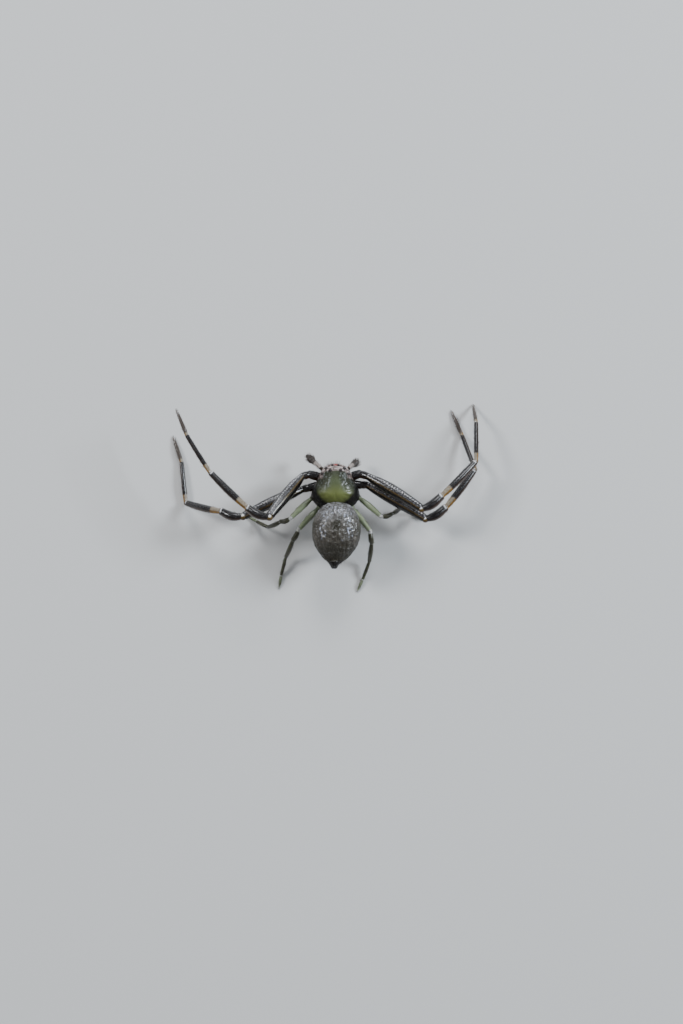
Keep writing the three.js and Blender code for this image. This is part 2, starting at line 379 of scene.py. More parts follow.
    def surface(self, **values: object) -> bpy.types.Material:
        """Ends the material in one Principled shader.

        Args:
            values: Its sockets, with underscores for spaces.

        Returns:
            The finished material.
        """
        sockets = {name.replace("_", " "): value for name, value in values.items()}
        for name, value in sockets.items():
            if isinstance(value, tuple) and len(value) == 3 and "Color" in name:
                sockets[name] = (*value, 1.0)
        made = self.node("ShaderNodeBsdfPrincipled", sockets=sockets)
        ending = self.tree.nodes.new("ShaderNodeOutputMaterial")
        self.tree.links.new(made.socket, ending.inputs["Surface"])
        return self.material


# Finishes

def softness(weight: float, depth: float, colour: Colour = (1.0, 0.6, 0.35)) -> dict[str, object]:
    """The sockets that let light into a surface.

    Args:
        weight: How much of it goes in.
        depth: How deep it goes, in millimetres.
        colour: How far each colour goes.

    Returns:
        The sockets and their values.
    """
    return {"Subsurface_Weight": weight, "Subsurface_Scale": depth * MM, "Subsurface_Radius": colour}


@dataclass(frozen=True)
class CarapaceFinish:
    """Glossy olive shell with black flanks, grey streaks and a pale, mottled face, and painted shade that
    darkens it towards the rim.
    """

    olive: Colour = (0.078, 0.094, 0.046)
    yellow: Colour = (0.145, 0.168, 0.05)
    shade: Colour = (0.032, 0.038, 0.018)
    # Painted shade colour, towards the rim of the shell.
    painted_rim_shade_colour: Colour = (0.01, 0.012, 0.005)
    grey: Colour = (0.26, 0.275, 0.27)
    black: Colour = (0.003, 0.0025, 0.002)
    pale: Colour = (0.54, 0.465, 0.45)
    mottle: Colour = (0.1, 0.07, 0.06)
    red: Colour = (0.3, 0.035, 0.03)
    under: Colour = (0.16, 0.12, 0.075)
    streak: Colour = (0.03, 0.028, 0.012)
    eye_ring: Colour = (0.02, 0.012, 0.012)
    shell_middle: Point = (0.0, -0.25)
    shell_half_width: float = 0.8
    shell_back: float = 0.58
    shell_front: float = 0.955
    face_middle: Point = (0.0, 0.26)
    face_radii: Point = (0.53, 0.38)

    def build(self) -> bpy.types.Material:
        """Makes the material.

        Returns:
            The finished material.
        """
        s = Shader("carapace_shell")
        place = s.place()
        x, y, z = s.axes(place)
        side = abs(x)
        cloud = s.noise(place, scale=5.0, detail=4.0)
        grit = s.noise(place, scale=26.0, detail=3.0)
        streaks = s.noise(s.stretched(place, (9.0, 2.2, 5.0)), scale=1.3, detail=3.0)
        back = s.rise(y, 0.1, -0.45)
        centre = s.blend(back, s.blend(s.rise(y, 0.12, 0.42) * 0.65, self.olive, self.shade), self.yellow)
        lean = side + (y - 0.1) * 0.25 + cloud.swing(0.2)
        grain = s.noise(place, scale=15.0, detail=3.0) + streaks.swing(0.9)
        speckle = s.rise(grain, 0.46, 0.66) * (0.5 + s.rise(y, -0.2, 0.35) * 0.5)
        flank = s.blend(speckle, self.shade, self.grey)
        colour = s.blend(s.rise(lean, 0.1, 0.24) * s.rise(y, -0.35, 0.05), centre, flank)
        dark_streak = s.hill(side - (0.3 - y) * 0.12, 0.36, 0.09) * s.rise(y, -0.15, 0.1)
        dark_streak = dark_streak * s.rise(y, 0.34, 0.2)
        colour = s.blend(dark_streak * s.rise(grit, 0.3, 0.6) * 0.7, colour, self.streak)
        limit = 0.82 - s.rise(y, 0.05, -0.5) * 0.16
        length = s.rise(y, -0.26, -0.24) * (self.shell_front - self.shell_back) + self.shell_back
        reach = s.oval(x, y, self.shell_middle, (self.shell_half_width, length))
        edge = s.rise(reach + cloud.swing(0.12) - limit, -0.08, 0.1) * s.rise(y, 0.5, 0.25)
        # Painted shade: the dome is darkened smoothly towards its rim, where it turns away from the light.
        painted_rim_shade = s.rise(reach + cloud.swing(0.1), 0.36, 0.94) * s.rise(y, 0.6, 0.25)
        colour = s.blend(painted_rim_shade * 0.92, colour, self.painted_rim_shade_colour)
        colour = s.blend(edge, colour, self.black)
        arc = s.oval(x, y, self.face_middle, self.face_radii)
        rim = s.rise(arc + cloud.swing(0.16), 0.72, 0.8) * s.rise(y, 0.16, 0.26)
        rim = rim.most(s.rise(y + cloud.swing(0.12), 0.42, 0.47))
        spots = s.rise(s.noise(place, scale=12.0, detail=3.0) + s.rise(y, 0.5, 0.3) * 0.1, 0.46, 0.58)
        face = s.blend(spots * 0.85, self.pale, self.mottle)
        ringed = s.rise(s.ripple(arc + cloud.swing(0.3), 0.09), 0.045, 0.07) * s.rise(grit, 0.25, 0.45)
        face = s.blend(ringed * 0.95, face, self.mottle)
        face = s.blend(s.hill(x - 0.02, 0.0, 0.13) * s.hill(y, 0.66, 0.05), face, self.red)
        colour = s.blend(rim, colour, face)
        for eye in EYES:
            away = s.oval(side, y, (eye.across, eye.along), (eye.ring, eye.ring))
            colour = s.blend(s.rise(away, 1.0, 0.75) * 0.92, colour, self.eye_ring)
        below = s.rise(z, 0.95, 0.9)
        colour = s.blend(below * s.rise(edge, 1.0, 0.4), colour, self.under)
        pits = s.rise(s.cells(place, scale=15.0), 0.0, 0.5)
        relief = pits * 0.4 + grit * 0.5 + streaks * 0.4
        return s.surface(
            Base_Color=colour,
            Roughness=0.34 + grit * 0.2 + rim * 0.2,
            Normal=s.bump(relief, depth=0.005),
            Coat_Weight=s.rise(edge, 1.0, 0.0) * s.rise(x, 0.1, 0.35) * 0.3,
            Coat_Roughness=0.18,
            IOR=1.32,
            **softness(weight=0.04, depth=0.04),
        )


@dataclass(frozen=True)
class AbdomenFinish:
    """Glossy grey-brown skin, finely wrinkled, with silvery specks in front, painted bluish-white glints in
    two arcs over the sides, and a dark mark on the back.
    """

    brown: Colour = (0.044, 0.038, 0.029)
    silver_and_glint: Colour = (0.44, 0.45, 0.48)
    olive: Colour = (0.016, 0.014, 0.006)
    # Painted highlight: the bluish-white colour of the glints.
    glint: Colour = (0.72, 0.79, 1.0)
    rear: Colour = (0.038, 0.035, 0.026)
    fold: Colour = (0.125, 0.111, 0.094)
    under: Colour = (0.2, 0.18, 0.14)
    tail: Colour = (0.008, 0.006, 0.005)
    # Where the painted glints lie: two arcs over the sides.
    glint_arc_middle: Point = (0.0, -1.45)
    glint_arc_radii: Point = (0.5, 0.62)
    heart_middle: Point = (0.0, -1.42)
    heart_radii: Point = (0.2, 0.3)

    def build(self) -> bpy.types.Material:
        """Makes the material.

        Returns:
            The finished material.
        """
        s = Shader("abdomen_skin")
        place = s.place()
        x, y, z = s.axes(place)
        side = abs(x - 0.02 - (y + 1.58) * 0.06)
        cloud = s.noise(place, scale=3.4, detail=4.0)
        grit = s.noise(place, scale=30.0, detail=3.0)
        net = s.cells(s.stretched(place, (1.0, 0.75, 1.0)), scale=13.0, feature=Cell.EDGE)
        specks = s.rise(s.noise(place, scale=17.0, detail=2.0), 0.52, 0.66)
        front = s.rise(y + cloud.swing(0.6), -1.95, -0.9)
        colour = s.blend(s.rise(cloud, 0.35, 0.65) * 0.5, self.brown, self.fold)
        colour = s.blend(s.rise(y + cloud.swing(0.5), -1.7, -2.3), colour, self.rear)
        crown = s.rise(y + cloud.swing(0.5), -1.35, -0.85)
        colour = s.blend(crown * 0.17, colour, self.silver_and_glint)
        flecks = s.rise(s.noise(place, scale=8.0, detail=4.0, roughness=0.65), 0.5, 0.62)
        # Painted glints: two arcs over the sides, stronger on the right, hold silver flecks that stand for
        # reflections; the crown's flecks are the skin's own.
        girth = s.oval(side, y, self.glint_arc_middle, self.glint_arc_radii)
        painted_glint_arcs = s.hill(girth + cloud.swing(0.3), 0.95, 0.34) * s.rise(y, -1.95, -1.6)
        crown_and_painted_glints = painted_glint_arcs * (0.6 + s.rise(x, -0.1, 0.3) * 0.4) + crown * 0.75
        colour = s.blend((specks * 0.45 + flecks * 0.6) * crown_and_painted_glints * front, colour, self.silver_and_glint)
        long_place = s.stretched(place, (1.0, 0.7, 1.0))
        # Painted highlight: bluish-white glints within the arcs.
        glints = s.rise(s.noise(long_place, scale=12.0, detail=1.0), 0.58, 0.66) * painted_glint_arcs
        colour = s.blend(glints * (0.5 + s.rise(x, 0.0, 0.3) * 0.4), colour, self.glint)
        heart = s.rise(s.oval(side, y, self.heart_middle, self.heart_radii) + cloud.swing(0.9), 1.0, 0.55)
        colour = s.blend(heart * 0.8, colour, self.olive)
        # Dark net lines: partly the skin's own net, partly painted shade in the grooves that the bump sinks
        # along the same lines.
        net_lines_and_painted_shade = s.rise(net, 0.11, 0.0)
        colour = s.blend(net_lines_and_painted_shade * 0.65, colour, self.rear)
        rows = s.hill(side - s.rise(y, -0.6, -1.6) * 0.12, 0.52, 0.06) * s.rise(y, -2.3, -1.9)
        colour = s.blend(rows * s.rise(cloud, 0.35, 0.6) * 0.5, colour, self.fold)
        colour = s.blend(s.rise(z, 1.15, 0.95), colour, s.blend(cloud, self.under, self.brown))
        nub = s.rise(y + cloud.swing(0.1), -2.48, -2.56)
        colour = s.blend(nub, colour, self.tail)
        relief = s.rise(net, 0.0, 0.14) * 0.6 + grit * 0.3 + specks * 0.3
        dents = s.bump(s.noise(s.stretched(place, (1.0, 1.25, 1.0)), scale=6.5, detail=2.0), depth=0.05)
        return s.surface(
            Base_Color=colour,
            Roughness=0.18 + grit * 0.14,
            Normal=s.bump(relief, depth=0.008, under=dents),
            Coat_Weight=s.rise(y, -2.3, -1.7) * (0.25 + painted_glint_arcs * 0.6),
            Coat_Roughness=0.06,
            IOR=1.42,
            **softness(weight=0.04, depth=0.05),
        )


@dataclass(frozen=True)
class DarkLegFinish:
    """Glossy black-brown shell with amber seams, pale joints, and bands where the far segments begin; along
    the top, a grey zone that is partly painted sheen, and painted silver glints.
    """

    black: Colour = (0.0045, 0.0032, 0.003)
    brown: Colour = (0.06, 0.027, 0.012)
    grey: Colour = (0.046, 0.041, 0.043)
    # Colour of the painted silver glints.
    silver_and_glint: Colour = (0.5, 0.52, 0.56)
    # Paler brown-grey of the tarsi's upper side.
    tarsus_top: Colour = (0.13, 0.105, 0.09)
    seam: Colour = (0.11, 0.068, 0.012)
    amber: Colour = (0.25, 0.13, 0.022)
    cream: Colour = (0.31, 0.27, 0.205)
    mottle: Colour = (0.17, 0.11, 0.075)
    white: Colour = (0.72, 0.71, 0.72)
    claw: Colour = (0.02, 0.01, 0.006)

    def build(self) -> bpy.types.Material:
        """Makes the material.

        Returns:
            The finished material.
        """
        s = Shader("dark_leg_shell")
        place = s.place()
        band, tip = s.mark("band"), s.mark("tip")
        top, front = s.mark("top"), s.mark("front")
        stripe, soft, claw = s.mark("stripe"), s.mark("soft"), s.mark("claw")
        cloud = s.noise(place, scale=7.0, detail=4.0)
        grit = s.noise(place, scale=38.0, detail=3.0)
        unrolled = s.vector(s.mark("away") * 15.0, front * 8.0, top * 8.0)
        # Painted highlight: silver sparkles along the top of the legs.
        painted_sparkle = s.rise(s.noise(unrolled, scale=1.0, detail=3.0, roughness=0.6), 0.5, 0.66)
        ripple = s.ripple(s.mark("away") + grit * 0.03, 0.05)
        beads = s.rise(ripple, 0.02, 0.034) * s.rise(s.noise(unrolled, scale=0.3, detail=1.0), 0.36, 0.5)
        beads = beads * (0.2 + s.rise(stripe, 0.45, 0.95) * 0.8)
        under = s.rise(top * 0.7 + front * 0.5 + cloud.swing(0.7), 0.6, -0.4)
        brown = under * s.rise(stripe, 1.0, 0.8)
        colour = s.blend(brown.most(s.rise(top, -0.1, -0.7) * 0.7), self.black, self.brown)
        upper = s.rise(top, 0.05, 0.3)
        wander = front + cloud.swing(0.14)
        # Grey upper zone: partly the femur's own grey, partly painted sheen along the tops of the segments,
        # scaled by the stripe mark.
        back = s.rise(wander, -0.42, -0.3) * s.rise(wander, 0.86, 0.74) * upper
        back = back * s.rise(stripe, 0.0, 1.0)
        colour = s.blend(back * 0.5, colour, self.grey)
        # Painted highlight: silver sparkles over the grey upper zone.
        colour = s.blend(back * painted_sparkle * 0.25, colour, self.silver_and_glint)
        colour = s.blend(s.hill(wander, 0.48, 0.2) * beads * back, colour, self.white)
        # Painted highlight: a line of silver glints along the middle of the top.
        colour = s.blend(s.hill(wander, 0.0, 0.1) * painted_sparkle * back * 0.6, colour, self.silver_and_glint)
        line = s.hill(wander, -0.34, 0.26) * upper * s.rise(grit, 0.3, 0.55) * s.rise(stripe, 0.5, 0.9)
        colour = s.blend(line * 0.85, colour, self.seam)
        # Paler brown-grey on the upper side of the segments whose stripe mark is 0, which are the tarsi.
        end = s.rise(stripe, 0.2, 0.05) * s.rise(top + grit.swing(0.6), -0.3, 0.5)
        colour = s.blend(end * 0.6, colour, self.tarsus_top)
        rough_band = band + cloud.swing(0.14)
        patches = s.rise(s.noise(place, scale=15.0, detail=3.0), 0.46, 0.62)
        light = s.blend(patches * 0.6, self.cream, self.mottle)
        gold = s.blend(patches * 0.55, self.amber, self.brown)
        light = s.blend(s.rise(top * 0.45 + front * 0.9 + cloud.swing(0.3), 0.28, -0.05), light, gold)
        colour = s.blend(s.rise(rough_band, -0.035, 0.03), colour, light)
        lit = top * 0.9 + front * 0.4 + cloud.swing(0.25)
        colour = s.blend(s.rise(tip, -0.03, -0.05), colour, light)
        colour = s.blend(s.hill(tip, 0.0, 0.038) * s.rise(lit, 0.55, 0.85), colour, self.white)
        joint = s.blend(s.rise(lit, 0.8, 0.92), self.seam, self.white)
        joint = s.blend(s.rise(lit, 0.6, 0.1), joint, self.brown)
        colour = s.blend(soft, colour, joint)
        colour = s.blend(claw, colour, self.claw)
        relief = grit * 0.4 + beads * back + s.rise(s.cells(place, scale=24.0), 0.0, 0.4) * 0.3
        return s.surface(
            Base_Color=colour,
            Roughness=0.15 + grit * 0.15 + soft * 0.12,
            Normal=s.bump(relief, depth=0.005),
            Coat_Weight=s.rise(top, -0.2, 0.3) * 0.2 + back * beads * 0.3,
            Coat_Roughness=0.07,
            IOR=1.5,
            **softness(weight=0.03, depth=0.03),
        )


@dataclass(frozen=True)
class PaleLegFinish:
    """Clear pale green legs with white knees and olive-brown shins."""

    green: Colour = (0.12, 0.155, 0.06)
    clear: Colour = (0.25, 0.29, 0.18)
    olive: Colour = (0.03, 0.032, 0.009)
    white: Colour = (0.5, 0.5, 0.46)
    brown: Colour = (0.028, 0.018, 0.01)
    claw: Colour = (0.02, 0.01, 0.006)

    def build(self) -> bpy.types.Material:
        """Makes the material.

        Returns:
            The finished material.
        """
        s = Shader("pale_leg_shell")
        place = s.place()
        band, tip, shade = s.mark("band"), s.mark("tip"), s.mark("stripe")
        top, soft, claw = s.mark("top"), s.mark("soft"), s.mark("claw")
        cloud = s.noise(place, scale=8.0, detail=4.0)
        grit = s.noise(place, scale=40.0, detail=3.0)
        colour = s.blend(s.rise(top + cloud.swing(0.8), -0.3, 0.9), self.green, self.clear)
        vein = s.rise(abs(s.mark("front")), 0.86, 0.97) * s.rise(grit, 0.35, 0.55)
        colour = s.blend(vein * 0.5, colour, self.olive)
        dark = s.rise(shade + cloud.swing(0.5), 0.3, 0.75)
        colour = s.blend(dark * 0.93, colour, s.blend(cloud, self.olive, self.brown))
        colour = s.blend(s.rise(band + cloud.swing(0.05), -0.02, 0.02), colour, self.white)
        ring = s.rise(tip, 0.05, 0.02) * (1 - dark)
        knob = soft * s.rise(top + cloud.swing(0.4), -0.2, 0.5)
        colour = s.blend(soft * 0.7, colour, self.green)
        colour = s.blend(ring.most(knob) * 0.9, colour, self.white)
        colour = s.blend(claw, colour, self.claw)
        return s.surface(
            Base_Color=colour,
            Roughness=0.26 + grit * 0.22,
            Normal=s.bump(grit + s.rise(s.cells(place, scale=26.0), 0.0, 0.4), depth=0.003),
            Coat_Weight=0.3,
            Coat_Roughness=0.2,
            IOR=1.46,
            **softness(weight=0.35, depth=0.12, colour=(0.8, 1.0, 0.45)),
        )


@dataclass(frozen=True)
class MouthFinish:
    """Grey-brown shell of the mouthparts, pale where soft and dark at the ends."""

    name: str
    base: Colour = (0.11, 0.085, 0.065)
    pale: Colour = (0.36, 0.31, 0.28)
    dark: Colour = (0.035, 0.026, 0.022)

    def build(self) -> bpy.types.Material:
        """Makes the material.

        Returns:
            The finished material.
        """
        s = Shader(self.name)
        place = s.place()
        cloud = s.noise(place, scale=9.0, detail=4.0)
        grit = s.noise(place, scale=42.0, detail=3.0)
        colour = s.blend(s.rise(cloud, 0.38, 0.66), self.base, self.dark)
        colour = s.blend(s.rise(s.mark("soft") + cloud.swing(0.3), 0.35, 0.65), colour, self.pale)
        colour = s.blend(s.rise(s.mark("claw") + cloud.swing(0.3), 0.35, 0.65), colour, self.dark)
        return s.surface(
            Base_Color=colour,
            Roughness=0.3 + grit * 0.25,
            Normal=s.bump(grit + s.rise(s.cells(place, scale=28.0), 0.0, 0.4), depth=0.004),
            Coat_Weight=0.25,
            Coat_Roughness=0.2,
            IOR=1.5,
            **softness(weight=0.08, depth=0.05),
        )


@dataclass(frozen=True)
class LensFinish:
    """The black, wet-looking lens of an eye."""

    deep: Colour = (0.004, 0.003, 0.004)
    edge: Colour = (0.05, 0.025, 0.018)

    def build(self) -> bpy.types.Material:
        """Makes the material.

        Returns:
            The finished material.
        """
        s = Shader("eye_lens")
        grit = s.noise(s.place(), scale=60.0, detail=2.0)
        colour = s.blend(s.rise(grit, 0.45, 0.75) * 0.6, self.deep, self.edge)
        crown_and_painted_glints = 0.03 + grit * 0.05
        return s.surface(Base_Color=colour, Roughness=crown_and_painted_glints, Coat_Weight=0.8, Coat_Roughness=0.02, IOR=1.5)


@dataclass(frozen=True)
class HairFinish:
    """Bristles, darker at the root than at the tip."""

    name: str
    root: Colour = (0.02, 0.013, 0.01)
    end: Colour = (0.2, 0.14, 0.1)

    def build(self) -> bpy.types.Material:
        """Makes the material.

        Returns:
            The finished material.
        """
        s = Shader(self.name)
        way = s.mark("along")
        grit = s.noise(s.place(), scale=20.0, detail=2.0)
        colour = s.blend(s.rise(way + grit.swing(0.6), 0.2, 1.0), self.root, self.end)
        return s.surface(Base_Color=colour, Roughness=0.32 + grit * 0.2, IOR=1.55)


@dataclass(frozen=True)
class FloorFinish:
    """The plain pale floor."""

    colour: Colour = (0.72, 0.72, 0.71)

    def build(self) -> bpy.types.Material:
        """Makes the material."""
        return Shader("pale_floor").surface(Base_Color=self.colour, Roughness=0.75)


# Forms

@dataclass
class Form:
    """A surface in millimetres, with marks on its points. A triangle's last corner is -1."""

    points: Array
    faces: Array
    marks: dict[str, Array] = field(default_factory=dict)

    def marked(self, **values: float | Array) -> "Form":
        """Sets named values on every point.

        Args:
            values: One number for all the points, or one for each.

        Returns:
            The same form.
        """
        for name, value in values.items():
            self.marks[name] = np.broadcast_to(np.asarray(value, float), len(self.points)).copy()
        return self

    def normals(self) -> Array:
        """The outward direction at each point.

        Returns:
            Vectors of length 1.
        """
        corners = self.points[self.faces[:, :3]]
        across = np.cross(corners[:, 1] - corners[:, 0], corners[:, 2] - corners[:, 0])
        total = np.zeros_like(self.points)
        for corner in range(4):
            used = self.faces[:, corner] >= 0
            np.add.at(total, self.faces[used, corner], across[used])
        return unit(total)

    def raised(self, height: Array) -> "Form":
        """Moves each point out by a height in millimetres."""
        self.points = self.points + self.normals() * height[:, None]
        return self

    def piece(
        self,
        name: str,
        material: bpy.types.Material,
        slot: Slot,
        *nodes: str,
        flat_map: Array | None = None,
    ) -> bpy.types.Object:
        """Makes the Blender object.

        Args:
            name: The piece's name.
            material: Its finish.
            slot: Not used.
            nodes: The solids that it stands for.
            flat_map: For a coat, the place of each point on the unwrapped skin.

        Returns:
            The piece, riding on the body.
        """
        mesh = bpy.data.meshes.new(name)
        faces = [tuple(face) if face[3] >= 0 else tuple(face[:3]) for face in self.faces.tolist()]
        mesh.from_pydata(((self.points + SHIFT) * MM).tolist(), [], faces)
        for mark, values in self.marks.items():
            made = mesh.attributes.new(mark, "FLOAT", "POINT")
            made.data.foreach_set("value", values.astype(np.float32))
        if flat_map is not None:
            corners = np.array([corner for face in faces for corner in face])
            layer = mesh.uv_layers.new(name=BAKE_MAP)
            layer.data.foreach_set("uv", flat_map[corners].astype(np.float32).ravel())
        mesh.polygons.foreach_set("use_smooth", [True] * len(mesh.polygons))
        mesh.materials.append(material)
        mesh.update()
        made = bpy.data.objects.new(name, mesh)
        bpy.context.scene.collection.objects.link(made)
        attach(made, BODY)
        if nodes:
            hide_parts(*nodes)
        LOG.info("%s: %d faces", name, len(faces))
        return made


def joined(forms: Sequence[Form]) -> Form:
    """Makes one form of several.

    Args:
        forms: The parts.

    Returns:
        The one form, where a mark that a part lacks is 0.
    """
    names = sorted({name for form in forms for name in form.marks})
    starts = np.cumsum([0] + [len(form.points) for form in forms[:-1]])
    faces = [np.where(form.faces >= 0, form.faces + start, -1) for form, start in zip(forms, starts)]
    marks = {
        name: np.concatenate([form.marks.get(name, np.zeros(len(form.points))) for form in forms])
        for name in names
    }
    return Form(np.vstack([form.points for form in forms]), np.vstack(faces), marks)


def unit_ball(cells: int) -> Form:
    """Makes an evenly divided ball of radius 1.

    Args:
        cells: How many squares lie along a quarter of its girth.

    Returns:
        The ball.
    """
    steps = np.tan(np.linspace(-1, 1, cells + 1) * math.pi / 4)
    first, second = np.meshgrid(steps, steps, indexing="ij")
    ids = np.arange((cells + 1) ** 2).reshape(cells + 1, cells + 1)
    square = np.stack([ids[:-1, :-1], ids[1:, :-1], ids[1:, 1:], ids[:-1, 1:]], axis=-1).reshape(-1, 4)
    points, faces = [], []
    for axis in range(3):
        for sign in (-1, 1):
            grid = np.empty((cells + 1, cells + 1, 3))
            grid[..., axis] = sign
            grid[..., (axis + 1) % 3] = first * sign
            grid[..., (axis + 2) % 3] = second
            faces.append(square + len(points) * ids.size)
            points.append(grid.reshape(-1, 3))
    every = unit(np.vstack(points))
    _, kept, same = np.unique(np.round(every, 6), axis=0, return_index=True, return_inverse=True)
    return Form(every[kept], same.reshape(-1)[np.vstack(faces)])


def ball(middle: Point, radii: Point, cells: int = 10) -> Form:
    """Makes an egg-shaped ball.

    Args:
        middle: Its centre.
        radii: Its radius along each axis.
        cells: How many squares lie along a quarter of its girth.

    Returns:
        The ball.
    """
    form = unit_ball(cells)
    form.points = form.points * np.asarray(radii, float) + np.asarray(middle, float)
    return form


def tube(path: Array, radii: Array, around: int = 8) -> Form:
    """Makes a closed tube along a path, with a point at each end.

    Args:
        path: The places it runs through.
        radii: Its radius at each, the first and last taken as small.
        around: How many sides it has.

    Returns:
        The tube.
    """
    ways = unit(np.gradient(path, axis=0))
    guide = np.array([0.0, 0.0, 1.0]) if abs(ways[:, 2]).max() < 0.95 else np.array([1.0, 0.0, 0.0])
    first = unit(np.cross(ways, guide))
    second = np.cross(ways, first)
    turn = np.arange(around) * 2 * math.pi / around
    rings = first[:, None] * np.cos(turn)[None, :, None] + second[:, None] * np.sin(turn)[None, :, None]
    body = path[:, None] + rings * np.asarray(radii)[:, None, None]
    head, tail = path[:1] - ways[:1] * radii[0], path[-1:] + ways[-1:] * radii[-1]
    return Form(np.vstack([head, body.reshape(-1, 3), tail]), closed_rings(len(path), around))


def closed_rings(rings: int, around: int) -> Array:
    """Lists the faces between rings of points, with a single point before the first ring and after the last.

    Args:
        rings: How many rings there are.
        around: How many points each has.

    Returns:
        The corners of each face.
    """
    ids = 1 + np.arange(rings * around).reshape(rings, around)
    after = np.roll(ids, -1, axis=1)
    sides = np.stack([ids[:-1], after[:-1], after[1:], ids[1:]], axis=-1).reshape(-1, 4)
    blank = np.full(around, -1)
    head = np.stack([np.zeros(around, int), after[0], ids[0], blank], axis=-1)
    tail = np.stack([np.full(around, rings * around + 1), ids[-1], after[-1], blank], axis=-1)
    return np.vstack([sides, head, tail])


@dataclass
class Limb:
    """A length of limb between two places, round, with round ends that reach past them."""

    start: Point
    stop: Point
    radii: Sequence[float]
    bow: Point = (0.0, 0.0, 0.0)
    rings: int = 44
    around: int = 28
    front: int = 1

    def __post_init__(self) -> None:
        """Works out the limb's own directions."""
        way = np.asarray(self.stop, float) - np.asarray(self.start, float)
        self.length = float(np.linalg.norm(way))
        self.way = way / self.length
        guide = np.array([0.0, 0.0, 1.0]) if abs(self.way[2]) < 0.97 else np.array([0.0, 1.0, 0.0])
        self.up = unit(guide - self.way * float(guide @ self.way))
        self.side = np.cross(self.up, self.way)

    def radius(self, share: Array) -> Array:
        """The radius at a share of the length, as a smooth curve through the given ones.

        Args:
            share: How far along each place is, from 0 to 1.

        Returns:
            The radius at each.
        """
        radii = np.asarray(self.radii, float)
        count = len(radii) - 1
        place = np.clip(share, 0, 1) * count
        step = np.minimum(place.astype(int), count - 1)
        rest = place - step
        before = radii[np.maximum(step - 1, 0)]
        first, second = radii[step], radii[step + 1]
        after = radii[np.minimum(step + 2, count)]
        bend = 2 * before - 5 * first + 4 * second - after
        curl = 3 * (first - second) + after - before
        return first + 0.5 * rest * (second - before + rest * (bend + rest * curl))

    def places(self, share: Array, turn: Array, lift: Array | float = 0.0) -> tuple[Array, Array]:
        """Points on the surface.

        Args:
            share: How far along each is, from 0 to 1.
            turn: The angle round from the top, towards the side, in radians.
            lift: How far above the surface, in millimetres.

        Returns:
            The points, and the outward directions there.
        """
        out = np.cos(turn)[:, None] * self.up + np.sin(turn)[:, None] * self.side
        arch = np.sin(math.pi * share)[:, None] * np.asarray(self.bow)
        reach = (self.radius(share) * SKIN_INSET + lift)[:, None]
        return np.asarray(self.start) + self.way * (share * self.length)[:, None] + arch + out * reach, out

    def form(self, relief: Callable[[Array, Array], Array] | None = None) -> Form:
        """Makes the surface.

        Args:
            relief: What the radius is multiplied by, from the share along and the angle round.

        Returns:
            The closed surface, with along, away, top and front on its points.
        """
        lean = np.linspace(0, math.pi / 2, CAP_RINGS + 1)[1:]
        first, last = self.radii[0] * SKIN_INSET, self.radii[-1] * SKIN_INSET
        shares = np.linspace(0, 1, self.rings)[1:-1]
        spots = np.concatenate([
            -first * CAP_LENGTH * np.cos(lean), shares * self.length,
            self.length + last * CAP_LENGTH * np.cos(lean[::-1]),
        ])
        sizes = np.concatenate([
            first * np.sin(lean), self.radius(shares) * SKIN_INSET, last * np.sin(lean[::-1])
        ])
        turn = np.arange(self.around) * 2 * math.pi / self.around
        out = np.cos(turn)[:, None] * self.up + np.sin(turn)[:, None] * self.side
        share = np.clip(spots / self.length, 0, 1)
        grown = np.ones((len(spots), self.around))
        if relief is not None:
            grown = relief(share[:, None], turn[None, :]) * grown
        arch = np.sin(math.pi * share)[:, None] * self.bow
        middle = np.asarray(self.start) + self.way * spots[:, None] + arch
        body = middle[:, None] + out[None] * (sizes[:, None] * grown)[..., None]
        head = np.asarray(self.start) - self.way * first * CAP_LENGTH
        tail = np.asarray(self.stop) + self.way * last * CAP_LENGTH
        form = Form(np.vstack([head, body.reshape(-1, 3), tail]), closed_rings(len(spots), self.around))
        form.marked(along=self.spread(share), away=self.spread(spots))
        around = np.concatenate([[0.0], np.tile(turn, len(spots)), [0.0]])
        return form.marked(top=np.cos(around), front=np.sin(around) * self.front)

    def spread(self, values: Array) -> Array:
        """Gives each ring's value to its points and to the two ends."""
        return np.concatenate([[values[0]], np.repeat(values, self.around), [values[-1]]])


